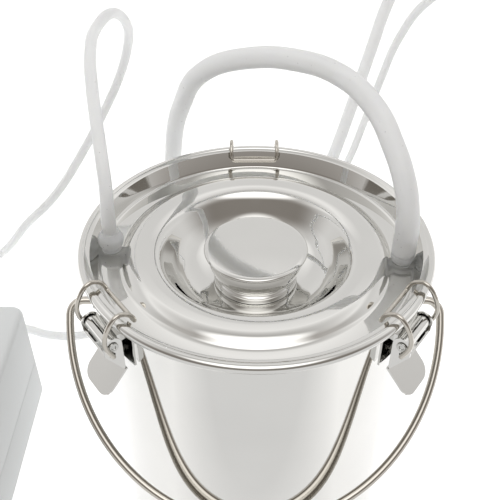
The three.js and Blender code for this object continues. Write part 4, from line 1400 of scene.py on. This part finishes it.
    def needle(self) -> Piece:
        """A tapered pointer with a round hub, parked at the scale's first mark."""
        blade = Bench.plate("gauge_pointer", [(-1.0, -4), (1.0, -4), (0.25, 12), (-0.25, 12)], -0.6, 0)
        hub = Bench.rod("hub", 2.2, (0, 0.2, 0), (0, -1.1, 0), 32)
        Bench.cut(blade, [hub], "UNION")
        Bench.seal(blade, 30)
        move = Bench.at(self.gauge_x, self.low[1] - 6.8, self.panel_z)
        Bench.place(blade, move @ Bench.rotated(-135, "Y"))
        return blade

    def build_controls(self) -> None:
        """The ribbed regulator knob, the rocker and its bezel."""
        ring = []
        ribs = 24
        for i in range(ribs * 8):
            angle = math.tau * i / (ribs * 8)
            radius = 9.25 + 0.35 * math.cos(ribs * angle)
            ring.append((radius * math.cos(angle), radius * math.sin(angle)))
        grip = Bench.plate("regulator_grip", ring, -15.0, -4.5)
        Bench.pick_edges(grip, lambda a, b: max(a.y, b.y) < -14.9 * MM)
        bpy.ops.mesh.bevel(offset=0.8 * MM, segments=4, affect="EDGES")
        bpy.ops.object.mode_set(mode="OBJECT")
        foot = eased([(0, 2), (11, 2), (11, 4), (9.4, 5), (0, 5)], [0.4, 0.5, 0.4], 4)
        skirt = Bench.turned("skirt", foot, 96)
        Bench.place(skirt, Bench.rotated(90, "X"))
        shaft = Bench.rod("shaft", 3.2, (0, 9, 0), (0, -2.5, 0), 32)
        pointer = Bench.block("pointer", (-0.7, -15.3, 3.0), (0.7, -2, 10.6))
        Bench.cut(grip, [skirt, shaft, pointer], "UNION")
        Bench.seal(grip, 32)
        Bench.place(grip, Bench.at(self.knob_x, self.panel_y, self.panel_z))
        stand(grip, BLACK_NYLON, "regulator_knob", body="regulator")
        self.build_rocker()

    def build_rocker(self) -> None:
        """The two-position rocker in its bezel."""
        outer = rounded_box(15, 11, 2, 8)
        bezel = Bench.plate("switch_frame", outer, -2, 0)
        Bench.cut(bezel, [Bench.block("window", (-11, -5, -8.2), (11, 5, 8.2))])
        Bench.seal(bezel, 30)
        Bench.soften(bezel, 0.4)
        move = Bench.at(self.rocker_x, self.panel_y, self.panel_z)
        Bench.place(bezel, move)
        stand(bezel, BLACK_NYLON, "switch_bezel")
        corners = [(-4.6, 5.6), (-1.8, 0), (-0.6, -5.6), (6, -4.5), (6, 4.5), (-4.6, 5.6)]
        side = eased(corners, [2, 0.6, 0.4, 0.4], 5)
        rocker = Bench.plate("rocker_key", side[:-1], -10, 10)
        Bench.soften(rocker, 0.3)
        Bench.place(rocker, Bench.at(self.rocker_x, self.low[1], self.panel_z) @ SWAP_X_Y)
        Bench.seal(rocker, 35)
        stand(rocker, BLACK_NYLON, "switch_rocker", body="rocker")


# ---------------------------------------------------------------- teat-cup cluster
@dataclass
class Cluster:
    """Two teat cups and their claw, lying beside the pail."""

    length: float = 128.0
    cup_x: tuple[float, float] = (334.0, 398.0)
    mouth_y: float = 128.0
    radius: float = 25.0
    axis_z: float = 25.5
    tail: float = 14.0
    air_rise: float = 30.0
    air_back: float = 20.0
    claw: tuple[float, float] = (366.0, 352.0)
    claw_radius: float = 27.0
    inlet_dx: float = 14.0
    inlet_reach: float = 36.0
    milk_z: float = 40.0
    air_dx: float = 7.0
    air_reach: float = 24.0
    air_z: float = 55.0

    def build(self) -> None:
        """Make both cups, their tubes and the claw."""
        for word, x in zip(("left", "right"), self.cup_x):
            side = math.copysign(1.0, x - self.claw[0])
            stand(self.shell(f"cup_jacket_{word}", x), PRESSED, f"cup_shell_{word}")
            stand(self.liner(f"cup_sleeve_{word}", x), GROMMET, f"cup_liner_{word}")
            stand(self.milk_tube(f"milk_branch_{word}", x, side), TUBING, f"short_milk_tube_{word}")
            stand(self.pulse_tube(f"pulse_branch_{word}", x, side), TUBING, f"short_pulse_tube_{word}")
        self.build_claw()

    @property
    def tail_y(self) -> float:
        """Where the shells end, towards the claw."""
        return self.mouth_y + self.length

    def lay(self, piece: Piece, x: float) -> None:
        """Lay a piece turned about Z along -Y, from a cup's tail."""
        move = Bench.at(x, self.tail_y, self.axis_z)
        Bench.place(piece, move @ Bench.rotated(90, "X"))

    def shell(self, name: str, x: float) -> Piece:
        """A drawn steel jacket with a beaded mouth and an air nipple on top."""
        rim = self.radius - 1.5
        end = self.length
        corners = [(12, 0), (15, 2), (18, 8), (20.5, 22), (22, 60), (rim, end - 8), (rim, end)]
        outside = eased(corners, [1.5, 3, 6, 10, 5], 8)
        inside = offset_line(outside, -1.4)
        piece = Bench.turned(name, [*outside, *reversed(inside), outside[0]], 96)
        self.lay(piece, x)
        y = self.tail_y - self.air_back
        nipple = Bench.rod("nipple", 3.2, (x, y, self.axis_z + 18), (x, y, self.axis_z + self.air_rise), 40)
        Bench.cut(piece, [nipple], "UNION")
        bore = Bench.rod("bore", 1.6, (x, y, self.axis_z + 12), (x, y, self.axis_z + self.air_rise + 2), 24)
        Bench.cut(piece, [bore])
        Bench.seal(piece, 40)
        return piece

    def liner(self, name: str, x: float) -> Piece:
        """The soft sleeve: a rolled lip over the jacket's mouth, a bore for the teat and a tail."""
        length, radius = self.length, self.radius
        inner = radius - 3.4
        skin = [
            (7.4, -14), (7.4, -2), (7, 0), (10.4, 28), (11.8, length - 16), (17.8, length - 6),
            (inner, length - 3), (inner, length + 0.3), (radius, length + 0.3),
            (radius, length + 7), (radius - 3, length + 11), (12, length + 12.4), (11, length + 11),
            (11, length + 9), (16.5, length + 5), (16.5, length - 4), (10.4, length - 14), (9.4, 30),
            (5, 0), (5, -14),
        ]
        cuts = [0.4, 1, 4, 6, 2.5, 1, 0.6, 0.8, 2, 2.4, 1, 0.7, 0.8, 2, 2, 4, 6, 4]
        outline = eased(skin, cuts, 6)
        piece = Bench.turned(name, [*outline, outline[0]], 80)
        self.lay(piece, x)
        return piece

    def milk_tube(self, name: str, x: float, side: float) -> Piece:
        """From the liner's tail up to the claw's inlet."""
        inlet_x = self.claw[0] + side * self.inlet_dx
        inlet_y = self.claw[1] - self.inlet_reach - 0.3
        tail = self.tail_y + self.tail + 0.3
        middle = ((x + inlet_x) / 2, (tail + inlet_y) / 2, self.milk_z - 6)
        at_tail = [(x, tail, self.axis_z), (x, tail + 6, self.axis_z), (x, tail + 14, self.axis_z + 1.5)]
        at_claw = [(inlet_x, inlet_y - back, self.milk_z) for back in (12, 6, 0)]
        return Bench.tube(name, [*at_tail, middle, *at_claw], 6.5)

    def pulse_tube(self, name: str, x: float, side: float) -> Piece:
        """From the jacket's nipple, over the cup, to the air distributor."""
        air_x = self.claw[0] + side * self.air_dx
        air_y = self.claw[1] - self.air_reach - 0.3
        y, z = self.tail_y - self.air_back, self.axis_z + self.air_rise + 0.3
        at_cup = [(x, y, z), (x, y, z + 6), (x, y + 2, z + 15)]
        over = [(x - side * 3, y + 16, z + 26), (air_x + side * 5, air_y - 32, self.air_z + 9)]
        at_claw = [(air_x, air_y - back, self.air_z) for back in (12, 6, 0)]
        return Bench.tube(name, [*at_cup, *over, *at_claw], 3.8)

    def nozzle(self, radius: float, start: float, end: float, z: float, dx: float = 0.0) -> Piece:
        """A round nozzle of the claw along Y, its distances from the bowl's axis."""
        x, y = self.claw
        return Bench.rod("nozzle", radius, (x + dx, y + start, z), (x + dx, y + end, z), 40)

    def build_claw(self) -> None:
        """Clear bowl, steel cap with its milk nozzles, and the air distributor on top."""
        radius = self.claw_radius
        to_claw = Bench.at(*self.claw, 0)
        bowl = [(0, 0), (radius - 9, 0), (radius - 4, 2), (radius, 10), (radius, 30), (radius - 2, 30)]
        bowl += [(radius - 2, 11), (radius - 6, 4), (radius - 10, 2), (0, 2)]
        piece = Bench.turned("claw_cup", eased(bowl, [3, 4, 5, 0.4, 0.4, 4, 3, 2], 6), 96)
        Bench.place(piece, to_claw)
        stand(piece, CLEAR_COVER, "claw_bowl")
        dome = [(0, 30.3), (radius + 1, 30.3), (radius + 1, 35.3), (radius - 2, 44), (14, 47), (0, 47)]
        cap = Bench.turned("claw_dome", eased(dome, [0.6, 1.5, 4, 1.5], 6), 96)
        Bench.place(cap, to_claw)
        milk = [self.nozzle(5.6, 10, radius + 12, self.milk_z)]
        for dx in (-self.inlet_dx, self.inlet_dx):
            milk.append(self.nozzle(5.2, -self.inlet_reach, -10, self.milk_z, dx))
        Bench.cut(cap, milk, "UNION")
        Bench.seal(cap, 35)
        stand(cap, PRESSED, "claw_cap")
        body = eased([(0, 47.3), (13, 47.3), (13, 59), (11, 61), (0, 61)], [0.5, 1, 1], 4)
        head = Bench.turned("air_head", body, 64)
        Bench.place(head, to_claw)
        air = [self.nozzle(3.2, 4, 25, self.air_z)]
        for dx in (-self.air_dx, self.air_dx):
            air.append(self.nozzle(2.8, -self.air_reach, -4, self.air_z, dx))
        Bench.cut(head, air, "UNION")
        Bench.seal(head, 35)
        stand(head, BLACK_NYLON, "air_distributor")


# ---------------------------------------------------------------- the whole machine
def main() -> None:
    """Build the studio and every sub-assembly in order."""
    latches = [DrawLatch(where) for where in Where]
    makers = [Studio(), Hoses(), Pail(), Lid(), *latches, PumpUnit(), Cluster()]
    for maker in makers:
        LOG.info("building %s", type(maker).__name__)
        maker.build()
    Bench.clear()


if __name__ == "__main__":
    main()
